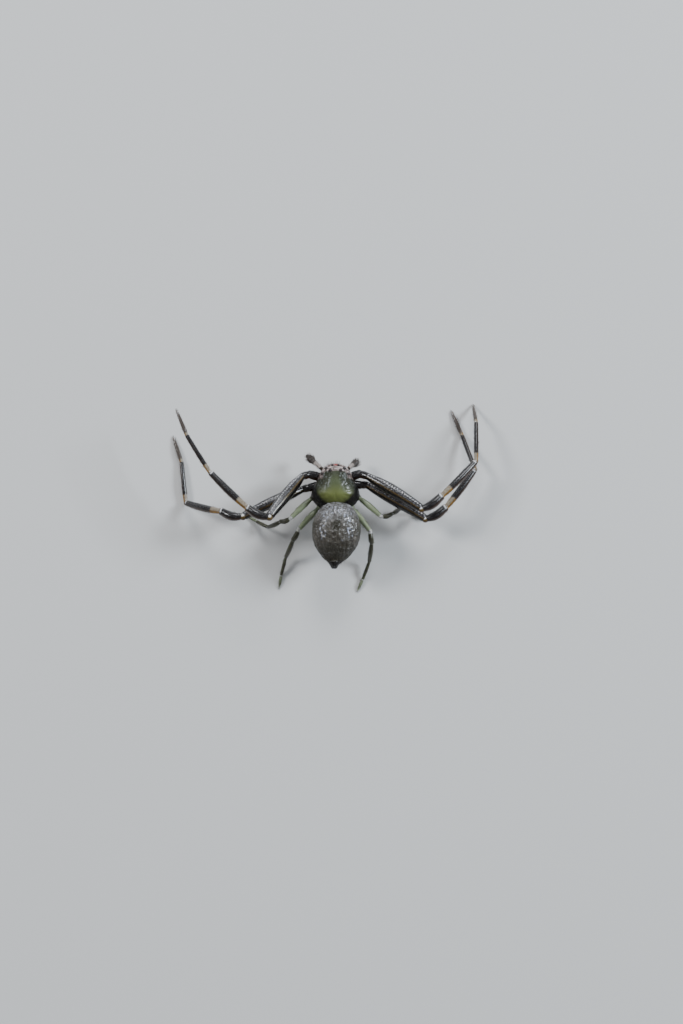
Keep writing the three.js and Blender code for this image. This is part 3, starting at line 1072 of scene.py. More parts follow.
@dataclass
class Coat:
    """Bristles as thin tapered solids, each with its own small patch on the unwrapped skin."""

    rings: int = 3
    sides: int = 3
    parts: list[tuple[Array, ...]] = field(default_factory=list)

    def add(
        self, roots: Array, ways: Array, lengths: Array, radii: Array | float, bends: Array, unwrap: Array
    ) -> None:
        """Adds bristles.

        Args:
            roots: Where each one starts.
            ways: The direction each one leaves in.
            lengths: How long each one is.
            radii: The radius of each one at its root, or of all.
            bends: How far its tip is carried sideways, as shares of its length.
            unwrap: The root's place on the unwrapped skin, from 0 to 1 each way.
        """
        radii = np.broadcast_to(np.asarray(radii, float), len(roots))
        self.parts.append((roots, unit(ways), lengths, radii, bends, unwrap))

    def form(self) -> tuple[Form, Array]:
        """Makes all the bristles.

        Returns:
            The joined surface, and the place of each point on the unwrapped skin.
        """
        roots, ways, lengths, radii, bends, unwrap = (np.concatenate(part) for part in zip(*self.parts))
        count = len(roots)
        guide = np.where(np.abs(ways[:, 2:]) < 0.9, [[0.0, 0.0, 1.0]], [[1.0, 0.0, 0.0]])
        first = unit(np.cross(ways, guide))
        second = np.cross(ways, first)
        rows, marks, flats = [], [], []
        for ring in range(self.rings):
            share = ring / self.rings
            middle = roots + (ways * share + bends * share ** 2) * lengths[:, None]
            for side in range(self.sides):
                turn = side * 2 * math.pi / self.sides
                out = first * math.cos(turn) + second * math.sin(turn)
                rows.append(middle + out * (radii * (1 - share) ** 0.7)[:, None])
                marks.append(np.full(count, share))
                flats.append(unwrap + np.array([side / self.sides - 0.5, share - 0.5]) * BAKE_PATCH)
        for share, spot in ((1.0, ways + bends), (0.0, ways * -0.02)):
            rows.append(roots + spot * lengths[:, None])
            marks.append(np.full(count, share))
            flats.append(unwrap + np.array([0.0, share - 0.5]) * BAKE_PATCH)
        points = np.stack(rows, axis=1)
        points[..., 2] = np.maximum(points[..., 2], HAIR_FLOOR)
        each = points.shape[1]
        faces = []
        for side in range(self.sides):
            after = (side + 1) % self.sides
            for ring in range(self.rings - 1):
                low, high = ring * self.sides, (ring + 1) * self.sides
                faces.append([low + side, low + after, high + after, high + side])
            top = (self.rings - 1) * self.sides
            faces.append([top + side, top + after, each - 2, -1])
            faces.append([after, side, each - 1, -1])
        base = np.array(faces)
        every = np.where(base[None] >= 0, base[None] + np.arange(count)[:, None, None] * each, -1)
        form = Form(points.reshape(-1, 3), every.reshape(-1, 4))
        form.marked(along=np.stack(marks, axis=1).reshape(-1))
        return form, np.stack(flats, axis=1).reshape(-1, 2)

    def piece(self, name: str, material: bpy.types.Material, slot: Slot) -> bpy.types.Object:
        """Makes the coat's Blender object."""
        form, flat_map = self.form()
        return form.piece(name, material, slot, flat_map=flat_map)


# The head and its shell

@dataclass
class Carapace:
    """The domed shell and the raised face with its eyes."""

    width: float = 1.6
    front: float = 0.99
    back: float = 0.58
    middle: float = -0.25
    rise: float = 0.66
    drop: float = 0.26
    margin: float = 0.95
    narrowing: float = 0.24
    cells: int = 104
    search_steps: int = 60
    arch_middle: Point = (0.02, 0.28)
    arch_radii: Point = (0.52, 0.42)
    arch_height: float = 0.022
    hollow_depth: float = 0.02
    mound_spread: float = 0.085
    pit_depth: float = 0.014
    groove_depth: float = 0.01
    groove_spread: float = 0.03
    spoke_depth: float = 0.008
    grain_height: float = 0.003
    rim_height: float = 0.014
    bristle_draws: int = 520
    bristle_radius: float = 0.0032

    def surface(self, way: Array) -> Array:
        """Points of the shell before its relief.

        Args:
            way: Points of the unit ball.

        Returns:
            The points in millimetres.
        """
        px, py, pz = way.T
        head, face, rear = smoothstep(py, -0.1, 0.5), smoothstep(py, 0.6, 1.0), smoothstep(-py, 0.1, 1.0)
        along = np.where(py > 0, self.front * np.abs(py) ** 0.8, self.back * py)
        rise = self.rise * np.abs(pz) ** 0.85 * (1 - 0.22 * rear) * (1 - 0.1 * head)
        x = self.width / 2 * px * (1 - self.narrowing * head + 0.1 * face)
        z = self.margin + 0.05 * head + np.where(pz > 0, rise, self.drop * pz)
        return np.stack([x, self.middle + along, z], axis=-1)

    def top(self, x: float, y: float) -> Array:
        """The point of the upper shell over a place on the plan.

        Args:
            x: The place across.
            y: The place along.

        Returns:
            The point in millimetres.
        """
        way = np.array([0.0, 0.0, 1.0])
        for _ in range(self.search_steps):
            reached = self.surface(way[None])[0]
            way[0] += (x - reached[0]) * 0.5
            way[1] += (y - reached[1]) * 0.5
            way[2] = math.sqrt(max(0.0, 1 - way[0] ** 2 - way[1] ** 2))
        return self.surface(way[None])[0]

    def relief(self, way: Array, points: Array) -> Array:
        """The height of the shell's folds, furrows and mounds.

        Args:
            way: Points of the unit ball.
            points: The same points on the shell.

        Returns:
            The height in millimetres.
        """
        x, y = points[:, 0], points[:, 1]
        side = np.abs(x)
        upper = smoothstep(way[:, 2], -0.05, 0.12)
        arc = oval(x, y, self.arch_middle, self.arch_radii)
        lumps = 0.8 + 0.2 * waves(points, scale=6.0, seed=3)
        height = self.arch_height * bell(arc, 0.9, 0.1) * smoothstep(y, 0.2, 0.34) * lumps
        height -= self.hollow_depth * bell(arc, 0.62, 0.12) * smoothstep(y, 0.35, 0.5)
        for eye in EYES:
            mound = bell(side, eye.across, self.mound_spread) * bell(y, eye.along, self.mound_spread)
            height += eye.mound * mound
        height -= self.pit_depth * bell(x, 0, 0.03) * bell(y, -0.36, 0.1)
        groove = self.groove_depth * bell(side - 0.1, (y + 0.28) * 0.62, self.groove_spread)
        height -= groove * smoothstep(y, -0.3, -0.1) * smoothstep(y, 0.45, 0.1)
        spokes = self.spoke_depth * np.cos(np.arctan2(side, -(y + 0.3)) * 7.0) ** 8
        height -= spokes * smoothstep(np.hypot(x, y + 0.3), 0.2, 0.45) * smoothstep(y, 0.3, 0.0)
        height += self.grain_height * waves(points, scale=5.0, seed=8)
        return height * upper + self.rim_height * bell(way[:, 2], 0, 0.07)

    def build(self, finish: bpy.types.Material) -> None:
        """Makes the shell.

        Args:
            finish: Its material.
        """
        form = unit_ball(self.cells)
        way = form.points
        form.points = self.surface(way) * [SKIN_INSET, SKIN_INSET, 1.0]
        form.points[:, 1] += self.middle * (1 - SKIN_INSET)
        form.raised(self.relief(way, form.points))
        form.piece("carapace_skin", finish, Slot.CARAPACE, "cephalothorax")

    def lenses(self, finish: bpy.types.Material) -> None:
        """Makes the eight eyes, each a low dome set in its mound.

        Args:
            finish: Their material.
        """
        for eye in EYES:
            for side in Side:
                middle = self.top(eye.across * side.value, eye.along)
                lens = ball(middle + [0, 0, eye.radius * 0.28], [eye.radius * 0.97] * 3, cells=16)
                lens.piece(f"lens_{eye.name}_{side.word}", finish, Slot.EYE, f"eye_{eye.name}_{side.word}")

    def bristles(self, coat: Coat, draw: np.random.Generator) -> None:
        """Adds the short bristles of the shell, and the longer ones over the face.

        Args:
            coat: What they are added to.
            draw: Where the random numbers come from.
        """
        way = unit(draw.normal(size=(self.bristle_draws, 3)) * [1, 1, 0.7] + [0, 0.25, 0.35])
        way = way[way[:, 2] > 0.12]
        points = self.surface(way)
        out = unit(way * [1, 0.7, 1.3])
        face = smoothstep(points[:, 1], 0.3, 0.6)
        none = np.zeros(len(way))
        lean = unit(out + np.stack([none, 1.2 * face - 0.9 * (1 - face), 0.25 * face], axis=-1))
        lengths = draw.uniform(0.05, 0.1, len(way)) * (1 + 0.8 * face)
        bends = draw.normal(scale=0.08, size=way.shape) + np.stack([none, 0.1 * face, none], axis=-1)
        unwrap = np.stack([way[:, 0] * 0.23 + 0.25, way[:, 1] * 0.23 + 0.25], axis=-1)
        coat.add(points - out * 0.01, lean, lengths, self.bristle_radius, bends, unwrap)


@dataclass
class Breastplate:
    """The heart-shaped plate below the shell, and the waist behind it."""

    radii: Point = (0.42, 0.52, 0.17)
    middle: Point = (0.0, -0.02, 0.78)
    scallop: float = 0.035
    lump_height: float = 0.006
    cells: int = 44
    waist_ends: tuple[Point, Point] = ((0.0, -0.5, 0.84), (0.0, -1.0, 0.98))
    waist_radii: Point = (0.12, 0.09, 0.1)

    def build(self, finish: bpy.types.Material) -> None:
        """Makes the plate and the waist as one piece.

        Args:
            finish: Their material.
        """
        plate = unit_ball(self.cells)
        x, y, z = plate.points.T
        heart = 1 - 0.3 * smoothstep(-y, -0.2, 1.0) - 0.12 * smoothstep(y, 0.5, 1.0)
        scallops = 1 + self.scallop * np.cos(np.arctan2(np.abs(x), y) * 9)
        plate.points = np.stack([x * heart * scallops, y * scallops, z], axis=-1) * self.radii + self.middle
        plate.raised(self.lump_height * waves(plate.points, scale=4.0, seed=21)).marked(soft=0.0, claw=0.35)
        limb = Limb(*self.waist_ends, self.waist_radii)
        waist = limb.form(lambda share, turn: 1 + 0.05 * np.cos(share * 40)).marked(soft=0.8)
        joined([plate, waist]).piece("breastplate", finish, Slot.CARAPACE)


# The abdomen

@dataclass
class Abdomen:
    """The egg-shaped abdomen, which runs straight to a blunt tail with the spinnerets."""

    width: float = 1.56
    length: float = 2.14
    rise: float = 0.56
    drop: float = 0.6
    middle: tuple[float, float, float] = (0.025, -1.58, 1.38)
    yaw: float = -3.5
    pitch: float = -9.0
    cells: int = 124
    dimples: tuple[Point, ...] = ((0.17, 0.33), (0.21, -0.02), (0.16, -0.34))
    dimple_radii: Point = (0.055, 0.06)
    dimple_depth: float = 0.022
    lumps: tuple[tuple[float, float, int], ...] = ((0.006, 1.8, 11), (0.008, 4.0, 12), (0.003, 8.0, 13))
    flank_fold: float = 0.012
    rear_fold: float = 0.007
    lung_middle: Point = (0.3, 0.6)
    lung_radii: Point = (0.16, 0.1)
    lung_height: float = 0.014
    furrow_depth: float = 0.014
    bristle_draws: int = 1500
    bristle_radius: float = 0.0028

    def surface(self, way: Array) -> Array:
        """Points of the skin before its relief.

        Args:
            way: Points of the unit ball.

        Returns:
            The points in millimetres.
        """
        px, py, pz = way.T
        rear = smoothstep(-py, 0, 1)
        taper = np.where(py < 0, 1 - 0.5 * np.abs(py) ** 2.5, 1 + 0.13 * py)
        height = np.where(pz > 0, self.rise, self.drop) * pz * taper - 0.18 * rear
        local = np.stack([self.width / 2 * px * taper, self.length / 2 * py, height], axis=-1)
        yaw, pitch = math.radians(self.yaw), math.radians(self.pitch)
        turn = Matrix.Rotation(pitch, 3, "X") @ Matrix.Rotation(yaw, 3, "Z")
        return local @ np.array(turn).T + self.middle

    def relief(self, way: Array) -> Array:
        """The height of the skin's folds, dimples and wrinkles.

        Args:
            way: Points of the unit ball.

        Returns:
            The height in millimetres.
        """
        x, y, z = way.T
        side = np.abs(x)
        upper = smoothstep(z, -0.3, 0.3)
        bearing = np.arctan2(side, z)
        body = smoothstep(np.abs(y), 0.98, 0.7) * smoothstep(bearing, 0.55, 1.0)
        height = self.flank_fold * np.cos(bearing * 11 + 0.8 * waves(way, scale=0.7, seed=2)) * body
        rows = np.cos(y * 46 + waves(way, scale=0.9, seed=5) * 1.1)
        height += self.rear_fold * rows * smoothstep(-y, 0.3, 0.65) * smoothstep(-y, 0.97, 0.88) * upper
        for lump, scale, seed in self.lumps:
            height += lump * waves(way, scale, seed)
        wide, long = self.dimple_radii
        for across, along in self.dimples:
            height -= self.dimple_depth * bell(side, across, wide) * bell(y, along, long) * upper
        lungs = oval(side, y, self.lung_middle, self.lung_radii)
        height += self.lung_height * np.exp(-(lungs ** 4)) * smoothstep(-z, 0.2, 0.5)
        return height - self.furrow_depth * bell(y, 0.46, 0.035) * smoothstep(-z, 0.3, 0.6)

    def build(self, finish: bpy.types.Material) -> None:
        """Makes the skin.

        Args:
            finish: Its material.
        """
        form = unit_ball(self.cells)
        way = form.points
        form.points = self.surface(way * SKIN_INSET)
        form.raised(self.relief(way)).piece("abdomen_skin", finish, Slot.ABDOMEN, "abdomen")

    def spinnerets(self, finish: bpy.types.Material) -> None:
        """Makes the four ringed spinnerets and the small tail above them.

        Args:
            finish: Their material.
        """
        root = self.surface(np.array([[0.0, -0.97, 0.0]]))[0]
        cones = []
        for row in (1, -1):
            for side in Side:
                start = root + [side.value * 0.045, 0.06, row * 0.04]
                stop = start + [side.value * 0.01, -0.155, row * 0.01 - 0.03]
                limb = Limb(start, stop, [0.055, 0.052, 0.042, 0.028], rings=40, around=24)
                cones.append(limb.form(lambda share, turn: 1 + 0.06 * np.cos(share * 30)))
        tail = Limb(root + [0, 0.1, 0.03], root + [0, -0.03, 0.02], [0.17, 0.17, 0.125], rings=30, around=28)
        cones.append(tail.form(lambda share, turn: 1 + 0.05 * np.cos(share * 24)))
        joined(cones).piece("spinneret_cones", finish, Slot.ABDOMEN, "spinnerets")

    def bristles(self, coat: Coat, draw: np.random.Generator) -> None:
        """Adds the sparse short bristles, which lean backwards.

        Args:
            coat: What they are added to.
            draw: Where the random numbers come from.
        """
        way = unit(draw.normal(size=(self.bristle_draws, 3)))
        way = way[np.abs(way[:, 1]) < 0.985]
        points = self.surface(way * SKIN_INSET)
        out = unit(way * [1 / self.width, 1 / self.length, 1 / (self.rise * 2)])
        lean = unit(out * 0.75 + np.array([0, -0.8, 0]) + draw.normal(scale=0.12, size=way.shape))
        lengths = draw.uniform(0.045, 0.085, len(way)) * (1 + 0.5 * smoothstep(-way[:, 1], 0.5, 1))
        bends = -out * 0.25 + draw.normal(scale=0.05, size=way.shape)
        below = 0.5 * (way[:, 2] < 0)
        unwrap = np.stack([way[:, 0] * 0.23 + 0.75, way[:, 1] * 0.23 + 0.25 + below], axis=-1)
        coat.add(points - out * 0.008, lean, lengths, self.bristle_radius, bends, unwrap)


# Legs

SEGMENTS = ("coxa", "trochanter", "femur", "patella", "tibia", "metatarsus", "tarsus")
SEGMENT_FORMS = {
    "coxa": (0.95, 1, 0.92),
    "trochanter": (0.8, 0.88, 0.8),
    "femur": (0.6, 0.86, 0.99, 0.97, 0.86, 0.74),
    "patella": (0.74, 0.93, 1, 0.9),
    "tibia": (0.74, 0.92, 1, 0.94, 0.82),
    "metatarsus": (0.86, 1, 0.96, 0.9),
    "tarsus": (0.92, 1, 0.84, 0.5),
}
SEGMENT_BOWS = {
    "femur": (-0.1, 0.35),
    "patella": (0.5, 0.35),
    "tibia": (0.25, 0.3),
    "metatarsus": (0.2, 0.4),
    "tarsus": (0.0, 0.2),
}
PULL_BACKS = {"femur": 1.0, "patella": 0.3, "tibia": 1.0, "metatarsus": 0.3, "tarsus": 1.0}


@dataclass(frozen=True)
class LegKind:
    """The sizes and markings of a pair of legs."""

    lengths: tuple[float, float, float, float, float]
    radii: dict[str, float]
    bands: dict[str, float]
    shades: dict[str, float]
    around: int
    slot: Slot
    bristles: int


DARK_BANDS = {"tibia": 0.26, "metatarsus": 0.2, "tarsus": 0.12}
DARK_SHADES = {
    "coxa": 0.4, "trochanter": 0.3, "femur": 1.0, "patella": 0.35, "tibia": 0.45, "metatarsus": 0.35,
}
PALE_BANDS = {"patella": 0.12, "tarsus": 0.08}
PALE_SHADES = {"patella": 0.8, "tibia": 1.0, "metatarsus": 0.72, "tarsus": 0.5}


def radii_of(hip: float, *further: float) -> dict[str, float]:
    """Names the greatest radius of each segment, where the two of the hip have one."""
    return dict(zip(SEGMENTS, (hip, hip, *further)))


class Pair(Enum):
    """The four pairs of legs, front to rear."""

    FRONT = LegKind((2.13, 0.77, 1.69, 1.4, 0.93), radii_of(0.15, 0.195, 0.15, 0.122, 0.078, 0.066),
                    DARK_BANDS, DARK_SHADES, around=36, slot=Slot.DARK_LEG, bristles=900)
    SECOND = LegKind((2.24, 0.76, 1.62, 1.36, 0.9), radii_of(0.15, 0.19, 0.15, 0.124, 0.078, 0.066),
                     DARK_BANDS, DARK_SHADES, around=36, slot=Slot.DARK_LEG, bristles=900)
    THIRD = LegKind((0.95, 0.38, 0.66, 0.52, 0.4), radii_of(0.11, 0.1, 0.085, 0.078, 0.058, 0.05),
                    PALE_BANDS, PALE_SHADES, around=26, slot=Slot.PALE_LEG, bristles=380)
    FOURTH = LegKind((1.0, 0.4, 0.8, 0.62, 0.44), radii_of(0.12, 0.1, 0.088, 0.08, 0.058, 0.05),
                     PALE_BANDS, PALE_SHADES, around=26, slot=Slot.PALE_LEG, bristles=380)


SMALL_FORM = {"band": -1.0, "tip": 1.0}
FOLD_TURNS = 26
BASE_COUNT = 19
BASE_RADII = (0.017, 0.014, 0.013)
CLAW_LENGTH = 0.06
CLAW_RADIUS = 0.0075
BRISTLE_RADIUS = 0.0026
LONG_BRISTLE_RADIUS = 0.0042
LONG_BRISTLE = 1.9


@dataclass
class Leg:
    """One leg in its pose: hip places, then the heading and end height of each further segment."""

    name: str
    pair: Pair
    hip: tuple[Point, Point, Point]
    headings: tuple[float, ...]
    heights: tuple[float, ...]

    @property
    def front(self) -> int:
        """The sign of the leg's forward-facing side."""
        return 1 if self.name.endswith("right") else -1

    def joints(self) -> list[Array]:
        """The places of the joints, from the root of the coxa to the tip.

        Returns:
            The eight places in millimetres.
        """
        places = [np.array(place, float) for place in self.hip]
        for length, heading, height in zip(self.pair.value.lengths, self.headings, self.heights):
            drop = height - places[-1][2]
            run = math.sqrt(length ** 2 - drop ** 2)
            turn = math.radians(heading)
            places.append(places[-1] + [run * math.cos(turn), run * math.sin(turn), drop])
        return places

    def limbs(self) -> dict[str, Limb]:
        """The seven segments, each as a limb.

        Returns:
            The limb of each segment, by its name.
        """
        kind = self.pair.value
        places = self.joints()
        made = {}
        for name, start, stop in zip(SEGMENTS, places, places[1:]):
            radius = kind.radii[name]
            form = [share * radius for share in SEGMENT_FORMS[name]]
            back, up = SEGMENT_BOWS.get(name, (0.0, 0.0))
            end = form[-1] * CAP_LENGTH * PULL_BACKS.get(name, 0.0)
            bow = (0.0, -back * radius, up * radius)
            rings = int(20 + np.linalg.norm(stop - start) * 34)
            stop = stop - unit(stop - start) * end
            made[name] = Limb(start, stop, form, bow, rings, kind.around, self.front)
        return made

    def form(self, limbs: dict[str, Limb]) -> Form:
        """Makes the whole leg: segments, soft joints, the row of pale bristle bases and the claws.

        Args:
            limbs: The leg's segments.

        Returns:
            The leg as one form.
        """
        kind = self.pair.value
        forms = []
        for name, limb in limbs.items():
            form = limb.form(lambda share, turn: 1 + 0.012 * np.cos(turn * 3) * np.sin(share * math.pi))
            away = form.marks["away"]
            rim = 0.0 if name in ("patella", "tibia") else 1.0
            forms.append(form.marked(
                band=kind.bands.get(name, -1.0) * limb.length - away,
                tip=limb.length - away + rim,
                stripe=kind.shades.get(name, 0.0),
                soft=0.7 * smoothstep(form.marks["along"], 0.8, 1.0) * (name == "tarsus"),
                claw=0.0,
            ))
        forms += self.soft_joints(limbs) + self.claws(limbs["tarsus"])
        if kind.slot is Slot.DARK_LEG:
            forms += self.bases(limbs["femur"])
        return joined(forms)

    def soft_joints(self, limbs: dict[str, Limb]) -> list[Form]:
        """Makes the soft skin at each joint, pale above.

        Args:
            limbs: The leg's segments.

        Returns:
            A knob for each joint.
        """
        made = []
        for name in SEGMENTS[3:]:
            limb = limbs[name]
            size = limb.radii[0] * 1.03
            middle = np.asarray(limb.start) - limb.way * size * 0.2
            knob = ball(middle, [size] * 3, cells=12)
            out = unit(knob.points - middle)
            folds = 0.015 * size * np.cos((out @ limb.way) * FOLD_TURNS)
            knob.raised(folds).marked(**SMALL_FORM, soft=1.0)
            made.append(knob.marked(top=out @ limb.up, front=(out @ limb.side) * self.front))
        return made

    def bases(self, limb: Limb) -> list[Form]:
        """Makes the row of small pale knobs that the femur's bristles stand on.

        Args:
            limb: The femur.

        Returns:
            The knobs.
        """
        made = []
        for step in range(BASE_COUNT):
            share = np.array([0.1 + 0.82 * step / (BASE_COUNT - 1)])
            turn = np.array([(0.62 + 0.07 * math.sin(step * 2.1)) * self.front])
            places, _ = limb.places(share, turn)
            knob = ball(places[0], BASE_RADII, cells=5)
            made.append(knob.marked(**SMALL_FORM, soft=1.0, top=1.0))
        return made

    def claws(self, limb: Limb) -> list[Form]:
        """Makes the two hooked claws at the tip of the foot.

        Args:
            limb: The tarsus.

        Returns:
            The claws.
        """
        tip = np.asarray(limb.stop) + limb.way * limb.radii[-1] * CAP_LENGTH * 0.6
        share = np.linspace(0, 1, 9)
        made = []
        for sign in (-1, 1):
            ahead, aside = share * CLAW_LENGTH, sign * (0.008 + 0.01 * share)
            above = 0.014 * np.sin(share * 2.2) - 0.02 * share ** 2
            path = tip + np.outer(ahead, limb.way) + np.outer(aside, limb.side) + np.outer(above, limb.up)
            path[:, 2] = np.maximum(path[:, 2], CLAW_FLOOR)
            made.append(tube(path, CLAW_RADIUS * (1 - 0.75 * share)).marked(**SMALL_FORM, claw=1.0))
        return made

    def bristles(self, coat: Coat, limbs: dict[str, Limb], draw: np.random.Generator, tile: int) -> None:
        """Adds the leg's bristles, which lean towards its tip.

        Args:
            coat: What they are added to.
            limbs: The leg's segments.
            draw: Where the random numbers come from.
            tile: Which strip of the unwrapped skin the leg takes.
        """
        total = sum(limb.length for limb in limbs.values())
        walked = 0.0
        for name, limb in limbs.items():
            count = int(self.pair.value.bristles * limb.length / total)
            share = draw.uniform(0.06, 0.97, count)
            turn = draw.uniform(-math.pi, math.pi, count)
            roots, out = limb.places(share, turn, -0.003)
            clear = roots[:, 2] > 0.03
            thin = name in ("metatarsus", "tarsus")
            stand = draw.uniform(0.35, 0.75, (count, 1))
            ways = limb.way * (1 - stand * 0.45) + out * stand
            lengths = draw.uniform(0.045, 0.08, count) * (1.15 if thin else 1.0)
            long = draw.uniform(size=count) < (0.1 if name in ("femur", "tibia", "patella") else 0.05)
            lengths = np.where(long, lengths * LONG_BRISTLE, lengths)
            ways[:, 2] = np.where(roots[:, 2] < 0.15, np.maximum(ways[:, 2], 0.0), ways[:, 2])
            radii = np.where(long, LONG_BRISTLE_RADIUS, BRISTLE_RADIUS)
            bends = limb.way * 0.28 - out * 0.12 + draw.normal(scale=0.04, size=(count, 3))
            along = (walked + share * limb.length) / total
            strip = (tile + 0.1 + 0.8 * (turn / math.pi + 1) / 2) / len(LEGS)
            unwrap = np.stack([along * 0.96 + 0.02, strip], axis=-1)
            coat.add(*(values[clear] for values in (roots, ways, lengths, radii, bends, unwrap)))
            walked += limb.length

    def build(self, finish: bpy.types.Material, coat: Coat, draw: np.random.Generator, tile: int) -> None:
        """Makes the leg and adds its bristles to the coat.

        Args:
            finish: The leg's material.
            coat: What the bristles are added to.
            draw: Where the random numbers come from.
            tile: Which strip of the unwrapped skin the leg takes.
        """
        limbs = self.limbs()
        nodes = [f"{self.name}_{length}" for length in ("femur", "tibia", "tarsus")]
        self.form(limbs).piece(f"{self.name}_skin", finish, self.pair.value.slot, *nodes)
        self.bristles(coat, limbs, draw, tile)


LEGS = (
    Leg("leg_1_right", Pair.FRONT, ((0.48, 0.3, 0.86), (0.8, 0.4, 0.97), (1.05, 0.3, 1.12)),
        headings=(-32.2, 33.5, 46.2, 89, 96), heights=(1.55, 1.5, 1.12, 0.66, FOOT)),
    Leg("leg_1_left", Pair.FRONT, ((-0.48, 0.3, 0.86), (-0.85, 0.38, 0.95), (-1.08, 0.31, 1.02)),
        headings=(-126.2, 156, 136, 122, 112.5), heights=(2.15, 2.1, 2.02, 1.96, 1.92)),
    Leg("leg_2_right", Pair.SECOND, ((0.5, 0.06, 0.82), (0.82, 0.05, 0.84), (1.02, 0.05, 0.84)),
        headings=(-30.2, 30, 53, 108.5, 113), heights=(0.92, 0.88, 0.66, 0.1, FOOT)),
    Leg("leg_2_left", Pair.SECOND, ((-0.5, 0.04, 0.82), (-0.84, -0.04, 0.84), (-1.06, -0.09, 0.84)),
        headings=(-154, 165, 162, 96, 108), heights=(1.35, 1.16, 0.14, 0.1, FOOT)),
    Leg("leg_3_right", Pair.THIRD, ((0.42, -0.2, 0.8), (0.66, -0.32, 0.82), (0.78, -0.38, 0.84)),
        headings=(-41, 14, 40, -25, -28), heights=(0.98, 0.86, 0.36, 0.08, FOOT)),
    Leg("leg_3_left", Pair.THIRD, ((-0.42, -0.2, 0.8), (-0.66, -0.33, 0.82), (-0.78, -0.4, 0.84)),
        headings=(-136, 198, 197, 150, 150), heights=(0.98, 0.86, 0.36, 0.08, FOOT)),
    Leg("leg_4_right", Pair.FOURTH, ((0.26, -0.42, 0.8), (0.44, -0.6, 0.8), (0.54, -0.7, 0.82)),
        headings=(-53, -82, -98, -111, -114), heights=(0.98, 0.86, 0.3, 0.08, FOOT)),
    Leg("leg_4_left", Pair.FOURTH, ((-0.26, -0.42, 0.8), (-0.44, -0.6, 0.8), (-0.54, -0.7, 0.82)),
        headings=(-132, -118, -116, -105, -100), heights=(0.98, 0.86, 0.3, 0.08, FOOT)),
)


# Mouthparts

